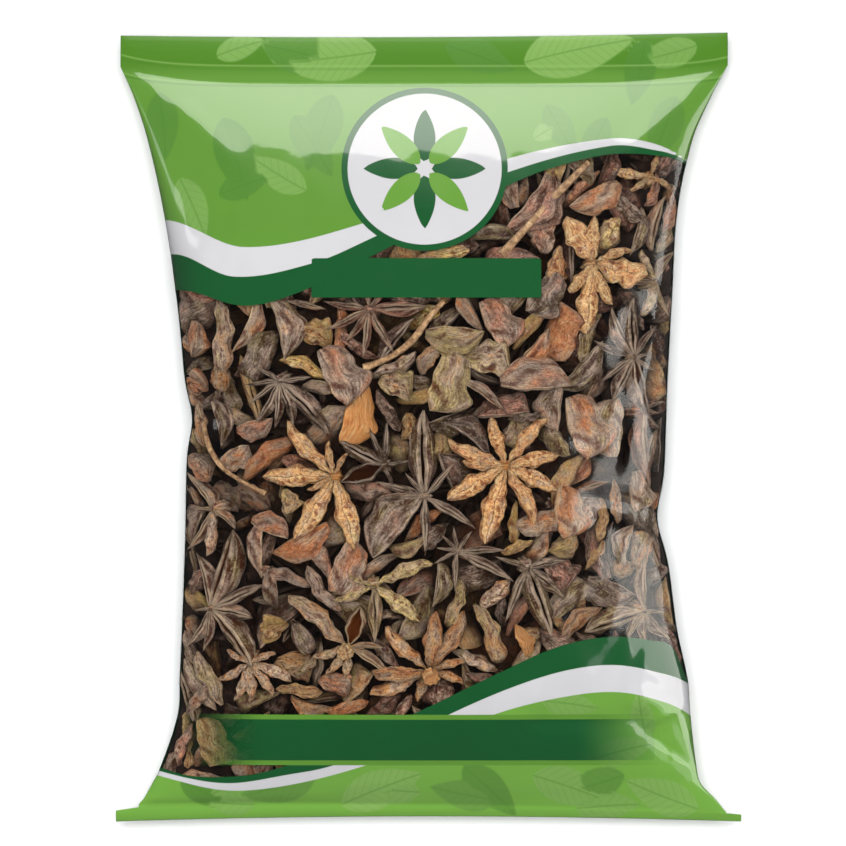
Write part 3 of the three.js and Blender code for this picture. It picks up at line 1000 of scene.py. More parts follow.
def library(name, shapes):
    """A collection of source shapes that node trees pick from. It isn't in the scene, so it doesn't show."""
    shelf = bpy.data.collections.new(name)
    for i, mesh in enumerate(shapes.values()):
        shelf.objects.link(bpy.data.objects.new(f"{name}_{i:02d}", mesh))
    return shelf


def new_tree(name, inputs):
    """A geometry tree with an input for geometry and a named one for each of inputs."""
    tree = bpy.data.node_groups.new(name, "GeometryNodeTree")
    tree.interface.new_socket("Geometry", in_out="INPUT", socket_type="NodeSocketGeometry")
    for label, kind in inputs:
        tree.interface.new_socket(label, in_out="INPUT", socket_type=kind)
    tree.interface.new_socket("Geometry", in_out="OUTPUT", socket_type="NodeSocketGeometry")
    return tree, node(tree, "NodeGroupInput").outputs


def end_tree(tree, geometry, material):
    """Every tree ends by making its instances real and giving them their material."""
    real = node(tree, "GeometryNodeRealizeInstances", {0: geometry}).outputs[0]
    dressed = node(tree, "GeometryNodeSetMaterial", {"Geometry": real, "Material": material}).outputs[0]
    node(tree, "NodeGroupOutput", {0: dressed})


def run_tree(tree, base, name, values):
    """Puts a tree on a base mesh with these input values and returns what it makes as a plain mesh."""
    carrier = bpy.data.objects.new(name + "_base", base)
    bpy.context.scene.collection.objects.link(carrier)
    modifier = carrier.modifiers.new(tree.name, "NODES")
    modifier.node_group = tree
    for item in tree.interface.items_tree:
        if item.in_out == "INPUT" and item.name in values:
            modifier[item.identifier] = values[item.name]
    evaluated = carrier.evaluated_get(bpy.context.evaluated_depsgraph_get())
    made = bpy.data.meshes.new_from_object(evaluated)
    made.name = name
    bpy.data.objects.remove(carrier)
    return made


LARGEST_ARM = 1.06  # size of a whorl's largest arm


def whorl_tree(material):
    """Carpels picked from a shelf and set round an axis, each a little uneven, with the hub in the middle."""
    tree, given = new_tree("whorl_of_carpels", [
        ("Carpels", "NodeSocketCollection"),
        ("Kinds", "NodeSocketInt"),
        ("Arms", "NodeSocketInt"),
        ("Missing share", "NodeSocketFloat"),
        ("Yaw spread", "NodeSocketFloat"),
        ("Droop", "NodeSocketFloat"),
        ("Droop spread", "NodeSocketFloat"),
        ("Roll spread", "NodeSocketFloat"),
        ("Smallest", "NodeSocketFloat"),
        ("Seed", "NodeSocketInt"),
    ])
    hub = given["Geometry"]
    arms, seed = given["Arms"], given["Seed"]
    key = node(tree, "GeometryNodeInputIndex").outputs[0]

    def between(low, high, number):
        """A random value for each arm. Every use has a number of its own, so that no two go together."""
        values = {2: low, 3: high, "ID": key, "Seed": maths(tree, "ADD", seed, number)}
        return node(tree, "FunctionNodeRandomValue", values, data_type="FLOAT").outputs[1]

    def spread(socket, number):
        return between(maths(tree, "MULTIPLY", socket, -1.0), socket, number)

    step = maths(tree, "DIVIDE", 2 * math.pi, arms)
    yaw = maths(tree, "ADD", maths(tree, "MULTIPLY", key, step), spread(given["Yaw spread"], 11.0))
    droop = maths(tree, "ADD", given["Droop"], spread(given["Droop spread"], 23.0))
    turn = node(tree, "ShaderNodeCombineXYZ", {0: spread(given["Roll spread"], 37.0), 1: droop, 2: yaw})
    size = between(given["Smallest"], LARGEST_ARM, 41.0)
    kept = maths(tree, "GREATER_THAN", between(0.0, 1.0, 59.0), given["Missing share"])
    last = maths(tree, "SUBTRACT", given["Kinds"], 1.0)
    pick = between(-0.49, maths(tree, "ADD", last, 0.49), 73.0)

    spots = node(tree, "GeometryNodePoints", {"Count": arms}).outputs[0]
    shelf = node(tree, "GeometryNodeCollectionInfo", {0: given["Carpels"], 1: True, 2: True}).outputs[0]
    set_out = node(tree, "GeometryNodeInstanceOnPoints", {
        "Points": spots,
        "Selection": kept,
        "Instance": shelf,
        "Pick Instance": True,
        "Instance Index": maths(tree, "ROUND", pick),
        "Rotation": turn.outputs[0],
        "Scale": size,
    }).outputs[0]
    own = between(0.0, 1.0, 91.0)
    toned = node(tree, "GeometryNodeStoreNamedAttribute", {
        "Geometry": set_out,
        "Name": "arm",
        "Value": own,
    }, data_type="FLOAT", domain="INSTANCE").outputs[0]
    both = node(tree, "GeometryNodeJoinGeometry", {0: toned})
    tree.links.new(hub, both.inputs[0])
    end_tree(tree, both.outputs[0], material)
    return tree


# Whorls: shelf of carpels, arms, missing share, yaw spread, droop, droop spread, roll spread, smallest, seed.
# A positive droop sinks the beaks below the hub.
DARK_WHORLS = [
    ("closed", 8, 0.00, 0.10, -0.04, 0.10, 0.30, 0.86, 3),
    ("closed", 8, 0.00, 0.08, 0.02, 0.12, 0.25, 0.80, 8),
    ("closed", 9, 0.00, 0.07, -0.08, 0.10, 0.35, 0.74, 14),
    ("closed", 8, 0.15, 0.12, 0.00, 0.16, 0.40, 0.82, 21),
    ("closed", 7, 0.00, 0.12, -0.10, 0.14, 0.40, 0.78, 27),
    ("closed", 8, 0.30, 0.12, 0.04, 0.18, 0.45, 0.84, 35),
    ("closed", 10, 0.10, 0.08, -0.02, 0.12, 0.35, 0.62, 44),
    ("closed", 6, 0.10, 0.20, 0.08, 0.20, 0.50, 0.88, 52),
]
TAN_WHORLS = [
    ("shrunk", 8, 0.12, 0.08, 0.02, 0.10, 0.30, 0.86, 5),
    ("shrunk", 7, 0.10, 0.12, 0.06, 0.12, 0.35, 0.84, 12),
    ("shrunk", 8, 0.00, 0.08, 0.00, 0.14, 0.30, 0.76, 19),
    ("shrunk", 6, 0.00, 0.16, 0.08, 0.16, 0.40, 0.90, 26),
    ("shrunk", 8, 0.30, 0.12, 0.04, 0.16, 0.40, 0.84, 33),
    ("shrunk", 9, 0.20, 0.08, -0.04, 0.12, 0.35, 0.70, 47),
]


def whorl_meshes(whorls, shelves, hub, material, prefix):
    """The finished pods of a list of whorls, as plain meshes by name."""
    tree = whorl_tree(material)
    made = {}
    for i, (shelf, arms, missing, yaw, droop, droop_spread, roll, smallest, seed) in enumerate(whorls):
        made[f"{prefix}_{i}"] = run_tree(tree, hub, f"{prefix}_{i}", {
            "Carpels": shelves[shelf],
            "Kinds": len(shelves[shelf].objects),
            "Arms": arms,
            "Missing share": missing,
            "Yaw spread": yaw,
            "Droop": droop,
            "Droop spread": droop_spread,
            "Roll spread": roll,
            "Smallest": smallest,
            "Seed": seed,
        })
    return made


# ---- Packing: every pod rises until it touches the film or lies against the pods above it ----

CELL = 0.8  # of the height map that the packing works on
MAP_HALF_WIDTH, MAP_HALF_LENGTH = 76, 94
MAP_X = np.arange(-MAP_HALF_WIDTH, MAP_HALF_WIDTH, CELL)
MAP_Y = np.arange(-MAP_HALF_LENGTH, MAP_HALF_LENGTH, CELL)
FILM_GAP = 0.9  # between the film and the pods
POD_GAP = 0.1
WELD_GAP = 2.0  # between a weld and the pods
SEAM_GAP = 0.3  # between a side seam and the pods
STEEPEST = 4.0  # slope of the film that still counts in full
BESIDE_SEAM = 8.0  # width of the strips along the side seams that are filled first
ABOVE_BACK = 0.97  # share of a pod's points that has to lie above the back sheet
DEPTH_FADE = 5.0  # so deep under the film a pod counts for a third in closing the window
UNDER_PRINT = 9.0  # how far the pods go on behind the print round the window
PLACED_GIVE, FILL_GIVE = 0.16, 0.07  # share of a pod's points that may lie a little inside the pods above it
FILM_GIVE = 0.06  # share of a pod's points that the film may press back
OVERHANG = 1.6  # how far beyond the side seams such points may be


class Ceiling:
    """The film's inside and the underside of all that is placed so far, and what of the window it covers."""

    def __init__(self):
        x, on_map = np.meshgrid(MAP_X + CELL / 2, MAP_Y + CELL / 2)
        y = unbowed(x, on_map)
        left, right = edges(y)
        ends = (y < TOP_WELD - WELD_GAP) & (y > BOTTOM_WELD + WELD_GAP)
        inside = ends & (x > left + SEAM_GAP) & (x < right - SEAM_GAP)
        within_reach = ends & (x > left - OVERHANG) & (x < right + OVERHANG)
        film = front_height(x, y)
        slope_y, slope_x = np.gradient(film, CELL)
        self.steep = np.sqrt(1 + np.minimum(slope_x**2 + slope_y**2, STEEPEST**2))
        self.sheet = film
        self.film = np.where(inside, film, -FAR)
        self.floor = np.where(within_reach, back_height(x, y) + FILM_GAP, FAR)
        self.under_film = np.where(within_reach, film - FILM_GAP * self.steep, -FAR)
        self.under_pods = np.full(film.shape, FAR)
        self.slope_x, self.slope_y = slope_x, slope_y
        self.wanted = inside & (inside_window(x, on_map) > -UNDER_PRINT)
        self.beside = self.wanted & ((x < left + BESIDE_SEAM) | (x > right - BESIDE_SEAM))
        self.open = self.wanted.copy()

    def cells(self, x, y):
        column = np.clip(((x - MAP_X[0]) / CELL).astype(int), 0, len(MAP_X) - 1)
        row = np.clip(((y - MAP_Y[0]) / CELL).astype(int), 0, len(MAP_Y) - 1)
        return row * len(MAP_X) + column

    def normal(self, x, y):
        """The film's outward direction over a place."""
        cell = self.cells(np.array([x]), np.array([y]))[0]
        up = Vector((-self.slope_x.flat[cell], -self.slope_y.flat[cell], 1.0))
        return up.normalized()

    def rise(self, points, give):
        """How far points can rise before they touch, and the cells that they are in."""
        cells = self.cells(points[:, 0], points[:, 1])
        rooms = []
        for underside, share in ((self.under_film, FILM_GIVE), (self.under_pods, give)):
            spared = int(share * len(cells))
            rooms.append(np.partition(underside.flat[cells] - points[:, 2], spared)[spared])
        return float(min(rooms)), cells

    def gain(self, points, cells):
        """How much of the open window these points would cover, less for what lies deeper."""
        covered = np.unique(cells)
        top = np.full(self.film.size, -FAR)
        np.maximum.at(top, cells, points[:, 2])
        covered = covered[self.open.flat[covered]]
        depth = (self.film.flat[covered] - top[covered]) / self.steep.flat[covered]
        return float(np.exp(-depth / DEPTH_FADE).sum())

    def place(self, points, cells):
        """Lowers the ceiling to the underside of these points."""
        np.minimum.at(self.under_pods.reshape(-1), cells, points[:, 2] - POD_GAP)
        self.open.flat[cells] = False


def along_film(ceiling, x, y, heading, reach, roll=0.0, pitch=0.0):
    """A turn whose X runs under the film from x, y towards a heading and whose Z points out through it."""
    dx, dy = reach * math.cos(heading), reach * math.sin(heading)
    start, end = ceiling.sheet.flat[ceiling.cells(np.array([x, x + dx]), np.array([y, y + dy]))]
    drop = min(max(end - start, -1.2 * reach), 1.2 * reach)
    x_axis = Vector((dx, dy, drop)).normalized()
    y_axis = ceiling.normal(x + dx / 2, y + dy / 2).cross(x_axis).normalized()
    lying = Matrix((x_axis, y_axis, x_axis.cross(y_axis))).transposed()
    return lying @ Matrix.Rotation(pitch, 3, "Y") @ Matrix.Rotation(roll, 3, "X")


def points_of(mesh):
    """The corners of a mesh and the middles of its faces, in millimetres."""
    flat = np.empty(len(mesh.vertices) * 3)
    mesh.vertices.foreach_get("co", flat)
    middles = np.empty(len(mesh.polygons) * 3)
    mesh.polygons.foreach_get("center", middles)
    return np.concatenate([flat, middles]).reshape(-1, 3) / MM


def turned(points, turn, size):
    return points @ (np.array(turn) * size).T


PAINTED_LIGHT_LIFT = 0.16  # painted light: how much of the way to a tone of 1 the pods go towards the foot and the left side, to make up for the shade there


def paled(tone, x, y):
    """The tone of a pod that lies there, with painted light added towards the foot and the left side."""
    share = min(1.0, max(0.0, (-y - 5) / 45, (-x - 25) / 25))
    return tone + max(0.0, 1 - tone) * PAINTED_LIGHT_LIFT * share


class Heap:
    """Pods of several kinds, set one after another under a shared ceiling."""

    def __init__(self, ceiling):
        self.ceiling = ceiling
        self.shapes = {}
        self.placed = {}

    def stock(self, kind, shapes):
        self.shapes[kind] = {name: points_of(mesh) for name, mesh in shapes.items()}
        self.placed[kind] = []

    def try_at(self, parts, give):
        """Where a group of parts would come to lie: each is a kind, a name, x and y, a turn and a size."""
        points = np.concatenate([
            turned(self.shapes[kind][name], turn, size) + (x, y, 0) for kind, name, x, y, turn, size in parts
        ])
        rise, cells = self.ceiling.rise(points, give)
        points[:, 2] += rise
        above_back = (points[:, 2] > self.ceiling.floor.flat[cells]).mean()
        fits = rise > -FAR / 2 and above_back > ABOVE_BACK
        return (points, cells, rise) if fits else None

    def put(self, parts, found, tone, hue):
        """Keeps a group of parts where it was found to lie."""
        points, cells, rise = found
        self.ceiling.place(points, cells)
        for kind, name, x, y, turn, size in parts:
            which = list(self.shapes[kind]).index(name)
            row = which, (x, y, rise), turn.to_euler("XYZ"), size, paled(tone, x, y), hue
            self.placed[kind].append(row)


# Pods that lie against the window. Each has the x and y of its middle, its tone, its hue and its arms. An arm
# is heading in degrees, reach in millimetres, kind of carpel and, where it isn't 0, roll in degrees.
# Tone goes from 0, nearly black, to 1, orange tan; above that a carpel shows its bare orange inside. Hue goes
# from 0, olive, over 0.4, grey, to 1, red.
WINDOW_PODS = [
    (37.7, 37.5, 1.00, 0.55, [
        (122, 12.5, "sheet"), (88, 11.5, "petal"), (20, 10, "rough"), (-12, 13.5, "sheet"),
        (-67, 10.5, "petal"), (-97, 17.0, "petal"), (-130, 9.5, "petal"),
    ]),
    (17.6, -8.7, 0.96, 0.66, [
        (107, 11.5, "petal"), (50, 14.5, "rough"), (10, 12.5, "petal"), (158, 14.5, "rough"),
        (176, 10, "rough"), (209, 15.5, "petal"), (254, 18.5, "petal"), (-27, 13.5, "petal"),
        (-62, 15, "rough"),
    ]),
    (-21.5, -11.0, 0.90, 0.50, [
        (180, 17, "petal"), (237, 17.5, "petal"), (285, 17.5, "petal"), (132, 16.5, "rough"),
        (100, 8, "rough"), (60, 6, "rough"), (210, 7, "rough"),
    ]),
    (-0.8, -15.7, 0.32, 0.38, [
        (91, 19.5, "wide"), (48, 10, "slim"), (-32, 13.5, "slim"), (270, 13.5, "slim"),
        (229, 18.5, "moon", -76), (183, 11, "slim"), (163, 11.5, "slim"), (130, 7, "slim"),
    ]),
    (-10.0, -8.5, 0.20, 0.20, [
        (152, 11.5, "wide"), (203, 10.5, "open"), (86, 10, "slim"), (112, 9, "slim"), (8, 6, "slim"),
        (-70, 6, "slim"),
    ]),
    (47.0, 16.0, 0.30, 0.40, [
        (92, 13.5, "wide"), (118, 12.5, "ridge"), (160, 11, "slim"), (215, 10.5, "slim"),
        (243, 12, "ridge"), (-79, 14.5, "parted"), (-36, 8, "slim"), (56, 10, "slim"), (12, 6, "slim"),
    ]),
    (-34.0, 10.5, 0.18, 0.30, [
        (315, 17, "ridge"), (6, 8, "slim"), (186, 8, "slim"), (216, 9.5, "slim"), (243, 11, "ridge"),
        (267, 11, "slim"), (289, 11, "ridge"), (148, 7, "slim"),
    ]),
    (-50.0, -41.5, 0.30, 0.42, [
        (71, 20, "wide"), (24, 16, "slim"), (-10, 11.5, "ridge"), (-54, 17, "wide"), (264, 10, "slim"),
        (241, 12, "ridge"), (101, 13, "ridge"), (186, 5, "slim"),
    ]),
    (-13.5, 27.0, 0.46, 0.85, [
        (207, 11, "slim"), (263, 11.5, "slim"), (298, 12, "slim"), (2, 13.5, "ridge"),
        (172, 10.5, "slim"), (236, 9.5, "slim"), (100, 9, "slim"), (55, 9, "slim"),
    ]),
    (0.0, -55.5, 0.80, 0.64, [
        (84, 14.5, "petal", 180), (58, 16.5, "rough", 180), (14, 8.5, "rough"), (136, 14.5, "rough"),
        (181, 13, "petal", 180), (204, 15, "rough"), (250, 9, "petal"), (-20, 9, "rough"),
    ]),
    (-12.5, -36.0, 0.52, 0.05, [
        (321, 13.5, "petal"), (272, 13, "ridge"), (203, 9.5, "rough"), (22, 14.5, "rough"),
        (160, 6, "rough"),
    ]),
    (-18.2, -50.0, 0.66, 0.40, [
        (74, 10, "open"), (138, 18, "rough", 180), (-33, 12, "slim"), (0, 8, "slim"), (198, 9, "rough"),
        (262, 9, "rough"), (232, 9, "rough"),
    ]),
    (6.5, -28.3, 0.30, 0.45, [
        (-27, 14.5, "slim"), (2, 11, "slim"), (132, 5.5, "slim"), (98, 6, "slim"), (55, 6, "slim"),
        (168, 5, "slim"), (-94, 9, "slim"), (206, 6, "slim"),
    ]),
    (22.5, -32.0, 0.28, 0.22, [
        (247, 13.5, "slim"), (-71, 17, "wide"), (-38, 11, "ridge"), (12, 9, "ridge"), (160, 8, "slim"),
    ]),
    (-41.0, -54.0, 0.64, 0.55, [
        (210, 9, "rough"), (250, 10.5, "rough"), (272, 10, "rough"), (307, 9.5, "rough"),
        (-24, 10.5, "petal"), (22, 7, "rough"), (150, 6, "rough"),
    ]),
    (49.5, -42.0, 0.38, 0.25, [
        (197, 15.5, "wide"), (236, 9, "slim"), (270, 8, "ridge"), (-50, 10, "ridge"), (-6, 6.5, "slim"),
        (93, 12.5, "slim"),
    ]),
    (52.2, 33.5, 0.58, 0.25, [
        (63, 11, "slim"), (118, 8, "rough"), (-75, 9, "slim"), (250, 10, "rough"), (182, 8, "slim"),
    ]),
    (49.5, 4.0, 0.36, 0.90, [
        (26, 7, "ridge"), (-54, 8.5, "ridge"), (-90, 18, "slim"), (-14, 5, "ridge"),
    ]),
    (-49.3, -18.7, 0.50, 0.55, [
        (180, 6.5, "slim"), (122, 14, "slim"), (264, 11, "rough"), (242, 13, "slim"), (-38, 8, "ridge"),
    ]),
    (51.0, 57.5, 0.84, 0.40, [
        (168, 9, "petal"), (215, 6.5, "rough"), (-30, 6, "rough"), (70, 6, "rough"),
    ]),
]
# How much more orange a pod's hub is than its arms, by the pod's place in the list above.
HUB_TONES = {0: -0.1, 1: 0.25, 2: 0.25, 9: 0.3, 11: 0.4}
OTHER_HUB_TONE = 0.05
HUB_SIZE = 1.25

# Loose carpels that lie against the window: kind, x, y of the middle, heading, roll and size, tone and hue.
WINDOW_CARPELS = [
    ("slab", -22, 11, -62, 90, 1.05, 0.50, 0.62),
    ("husk", -17.2, 3.5, -110, 90, 1.20, 1.25, 0.50),
    ("moon", 24.5, 9.5, 2, 76, 1.05, 0.54, 0.62),
    ("moon", 6.0, 21.8, -4, -84, 0.86, 0.62, 0.06),
    ("strip", 4.6, 17, -50, 90, 0.75, 1.22, 0.60),
    ("slab", 2.2, 10.8, -106, 100, 1.10, 0.56, 0.10),
    ("slab", 14.5, 23, -60, 88, 0.90, 0.56, 0.86),
    ("lump", 13, 13.5, -20, 80, 1.25, 0.48, 0.10),
    ("slim", 12.8, 7, -33, 30, 0.90, 0.50, 0.66),
    ("side", 23, 17.6, 43, -58, 0.90, 0.74, 0.70),
    ("side", 35, 14.6, 42, -62, 0.98, 0.26, 0.12),
    ("side", 37.5, 9, 242, 20, 0.66, 0.50, 1.00),
    ("slab", 33.5, -0.5, -72, 96, 1.10, 0.66, 0.66),
    ("slab", 30, -19.5, -86, 84, 0.88, 0.80, 0.80),
    ("moon", 37.3, 53.0, -150, 105, 0.86, 0.80, 0.72),
    ("side", 22, 50.5, 238, 100, 1.30, 0.40, 0.86),
    ("lump", 28.5, 37.5, 250, 20, 0.95, 0.90, 0.60),
    ("lump", 28, 43.5, 80, 60, 0.90, 0.44, 0.60),
    ("rough", 45, 50, -40, 160, 1.05, 0.22, 0.30),
    ("petal", 54.2, 49.5, 262, 150, 0.78, 0.70, 0.95),
    ("petal", 50.6, 54, 250, 100, 0.66, 0.52, 0.90),
    ("slab", 25, 31, 236, 84, 0.86, 0.28, 0.38),
    ("slim", 47.5, 44, 260, 60, 0.90, 0.40, 0.15),
    ("petal", -47.4, 20.5, -86, 150, 1.30, 0.54, 0.38),
    ("slim", -41.6, 22.8, -108, 60, 0.95, 0.66, 0.60),
    ("side", -34.0, 22, -72, 62, 1.00, 0.44, 0.45),
    ("slim", -27.5, 27.6, -12, 10, 0.66, 0.50, 0.60),
    ("lump", -26, 19.5, -24, 120, 1.00, 0.86, 0.20),
    ("lump", -54.3, 20.2, -90, 90, 0.98, 0.60, 0.66),
    ("lump", -51.2, 8.5, 10, 100, 0.80, 0.62, 0.80),
    ("rough", -51.6, 0.5, -80, 170, 0.85, 0.66, 0.56),
    ("wide", -48.0, 0.5, -72, 70, 0.78, 0.24, 0.30),
    ("moon", -39, 1.0, 12, -96, 0.62, 0.48, 0.80),
    ("lump", -8, 8.0, -30, 100, 0.95, 0.60, 0.15),
    ("lump", -5.6, 0.2, -100, 110, 0.72, 0.98, 0.40),
    ("slab", -44, -5.6, 28, -86, 0.64, 0.54, 0.55),
    ("slab", -46.2, -17.4, -38, 90, 0.66, 0.34, 0.42),
    ("moon", -40, -17.5, -36, 110, 0.66, 0.56, 0.60),
    ("moon", -36, -23.5, -22, 84, 0.62, 0.60, 0.82),
    ("lump", -32.6, -17, -80, 40, 0.66, 0.66, 0.08),
    ("slab", -20.5, -31.5, -112, 92, 0.96, 0.58, 0.72),
    ("side", 1.8, -36, -94, 50, 0.70, 0.26, 0.08),
    ("petal", 5.4, -40, -104, 160, 0.92, 0.58, 0.12),
    ("petal", 13.6, -47.5, -66, 170, 1.20, 0.70, 0.32),
    ("strip", 21, -49, -70, 90, 0.70, 1.15, 0.60),
    ("lump", 28.4, -34, -60, 96, 0.98, 0.26, 0.86),
    ("slab", 33, -40, 44, 92, 0.80, 0.34, 0.16),
    ("side", 35.2, -45, 44, 120, 0.80, 0.80, 0.66),
    ("rough", 37.8, -29, 58, 170, 0.62, 0.92, 0.40),
    ("moon", 42.5, -36.6, -24, -86, 0.84, 0.22, 0.30),
    ("lump", 37.6, -20, 60, 60, 0.95, 0.26, 0.40),
    ("rough", 42.6, -17, -84, 160, 0.78, 0.62, 0.44),
    ("slab", 47, -15, -88, 84, 0.72, 0.58, 0.45),
    ("lump", 50.4, -29, 60, 100, 1.05, 0.66, 0.40),
    ("side", 45.6, -26.5, 80, 80, 0.66, 0.52, 0.45),
    ("slab", 43.2, 0, 88, 90, 1.00, 0.56, 0.42),
    ("lump", -34.2, -47, 40, 110, 0.86, 0.86, 0.16),
    ("rough", -27.5, -54, 48, 170, 0.62, 0.50, 0.25),
    ("petal", -29.5, -60.3, -4, 160, 0.82, 0.88, 0.42),
    ("lump", -22, -60, -30, 100, 0.90, 0.58, 0.80),
    ("rough", -52.2, -61.6, 54, 150, 0.80, 0.42, 0.50),
    ("slab", -51.6, -73, -76, 92, 0.92, 0.88, 0.30),
    ("petal", -44, -74.5, -170, 170, 0.80, 0.60, 0.20),
    ("rough", 22, 2.4, 10, 160, 0.62, 0.22, 0.30),
    ("rough", 20, -27, 200, 100, 0.60, 0.90, 0.20),
]


def lay_pod(heap, number, pod):
    """Lays one whorl under the film, arm by arm round its hub."""
    x, y, tone, hue, arms = pod
    parts = []
    for heading, reach, name, *roll in arms:
        turn = along_film(heap.ceiling, x, y, math.radians(heading), reach, math.radians(sum(roll)))
        size = reach / (CARPELS[name].length + FOOT)
        parts.append(("arms", name, x, y, turn, size))
    face = -1.0 if any(len(arm) > 3 and arm[3] == 180 for arm in arms) else 1.0
    upright = Vector((0, 0, 1)).rotation_difference(heap.ceiling.normal(x, y) * face).to_matrix()
    parts.append(("arms", "hub", x, y, upright, HUB_SIZE))
    found = heap.try_at(parts, PLACED_GIVE)
    if found:
        heap.put(parts[:-1], found, tone, hue)
        heap.put(parts[-1:], found, tone + HUB_TONES.get(number, OTHER_HUB_TONE), hue)
    return bool(found)


def lay_window_pods(heap):
    """Lays the placed pods and carpels, and returns those that there was no room for."""
    left_out = [pod[:2] for number, pod in enumerate(WINDOW_PODS) if not lay_pod(heap, number, pod)]
    for name, x, y, heading, roll, size, tone, hue in WINDOW_CARPELS:
        heading = math.radians(heading)
        half = size * (FOOT + CARPELS[name].length / 2)
        x, y = x - half * math.cos(heading), y - half * math.sin(heading)
        turn = along_film(heap.ceiling, x, y, heading, 2 * half, math.radians(roll))
        parts = [("loose", name, x, y, turn, size)]
        found = heap.try_at(parts, PLACED_GIVE)
        if found:
            heap.put(parts, found, tone, hue)
        else:
            left_out.append((name, x, y))
    return left_out


FILL_SEED = 29
SIDE_CARPELS = 110  # loose carpels along both side seams
FIRST_CARPELS = 150  # and those that fill in between the placed pods
FILL_PODS = 60  # whorls that fill in behind them
LAST_CARPELS = 190
FILL_TRIES = 24
FEW_CELLS = 20  # so few open cells of the window are left open
FILL_SIZES = (0.72, 1.08)  # the least and the most of the pods that fill the heap
FILL_REACH = 14.0  # how far one of size 1 reaches from its axis
FILL_STRAY = 1.5  # how far from the open cell one comes down
FILL_PITCH = 0.22  # how far one tips out of the slope of the film, in radians
TURNED_OVER = 0.35  # share of the whorls that lie face down


# Tones of each kind of pod and hues of them all: the least, and the middles with their weights.
TONES = {
    "dark": (0.04, [(0.18, 0.5), (0.32, 0.4), (0.5, 0.1)]),
    "tan": (0.06, [(0.5, 0.3), (0.7, 0.4), (0.92, 0.3)]),
    "small": (0.06, [(0.2, 0.3), (0.4, 0.28), (0.6, 0.22), (0.82, 0.2)]),
}
HUES = (0.0, [(0.08, 0.22), (0.4, 0.34), (0.62, 0.26), (0.95, 0.18)])
OFF_MIDDLE = 0.06  # how far a tone or a hue strays from its middle


def pick(rng, least, choices):
    """One of several middles, by their weights, and a little off it, from the least up to 1."""
    middles, weights = zip(*choices)
    return min(1.0, max(least, float(rng.choice(middles, p=weights) + rng.normal(0, OFF_MIDDLE))))


def fill(heap, kinds, weights, count, tries, rng, where=None):
    """Adds count pods, each the one of several tries that closes most of what is still open."""
    for _ in range(count):
        wanted = heap.ceiling.open if where is None else heap.ceiling.open & where
        still_open = np.flatnonzero(wanted)
        if len(still_open) < FEW_CELLS:
            return
        best, best_gain = None, 0.0
        for _ in range(tries):
            cell = rng.choice(still_open)
            x = MAP_X[cell % len(MAP_X)] + rng.uniform(0, CELL) + rng.normal(0, FILL_STRAY)
            y = MAP_Y[cell // len(MAP_X)] + rng.uniform(0, CELL) + rng.normal(0, FILL_STRAY)
            kind = str(rng.choice(kinds, p=weights))
            name = str(rng.choice(list(heap.shapes[kind])))
            size = float(rng.uniform(*FILL_SIZES))
            heading = rng.uniform(0, 2 * math.pi)
            loose = kind == "small"
            reach = FILL_REACH * size
            roll = rng.uniform(-math.pi, math.pi) if loose else math.pi * (rng.random() < TURNED_OVER)
            if loose:
                x, y = x - reach / 2 * math.cos(heading), y - reach / 2 * math.sin(heading)
            turn = along_film(heap.ceiling, x, y, heading, reach, roll, rng.normal(0, FILL_PITCH))
            parts = [(kind, name, x, y, turn, size)]
            found = heap.try_at(parts, FILL_GIVE)
            if not found:
                continue
            points, cells, _ = found
            gain = heap.ceiling.gain(points, cells)
            if gain > best_gain:
                best, best_gain = (parts, found), gain
        if best:
            parts, found = best
            heap.put(parts, found, pick(rng, *TONES[parts[0][0]]), pick(rng, *HUES))


# ---- Finishing the heap: its outermost points pressed in by the film, and the depths for its painted shade ----

FILM_REST = 0.4  # from the film to what it presses on


def press_in(made):
    """Moves the points of a piece that stand out through the film back inside it."""
    corners = points_of(made.data)[: len(made.data.vertices)]
    x, y, z = corners.T
    level = unbowed(x, y)
    left, right = edges(level)
    x = np.clip(x, left + FILM_REST, right - FILM_REST)
    ceiling = np.minimum(front_height(x - FILM_REST, level), front_height(x + FILM_REST, level))
    ceiling = np.minimum(ceiling, front_height(x, level)) - FILM_REST
    z = np.minimum(z, ceiling)
    z = np.maximum(z, back_height(x, level) + FILM_REST)
    made.data.vertices.foreach_set("co", (np.stack([x, y, z], axis=-1) * MM).ravel())
    made.data.update()


FINE_CELL = 0.4  # of the map of the heap's top
NEIGHBOURHOOD = 3.2  # half the width of what counts as a place's neighbours
CLOSE_UNDER = 3.5  # so far below the film a place still counts as on top, before painted shade starts


def spread_out(heights, half_width):
    """The mean of a map over a square around each of its cells."""
    for axis in (0, 1):
        ends = [(half_width + 1, half_width) if side == axis else (0, 0) for side in (0, 1)]
        total = np.cumsum(np.pad(heights, ends, mode="edge"), axis=axis)
        near = np.take(total, np.arange(2 * half_width + 1, total.shape[axis]), axis=axis)
        far = np.take(total, np.arange(0, total.shape[axis] - 2 * half_width - 1), axis=axis)
        heights = (near - far) / (2 * half_width + 1)
    return heights


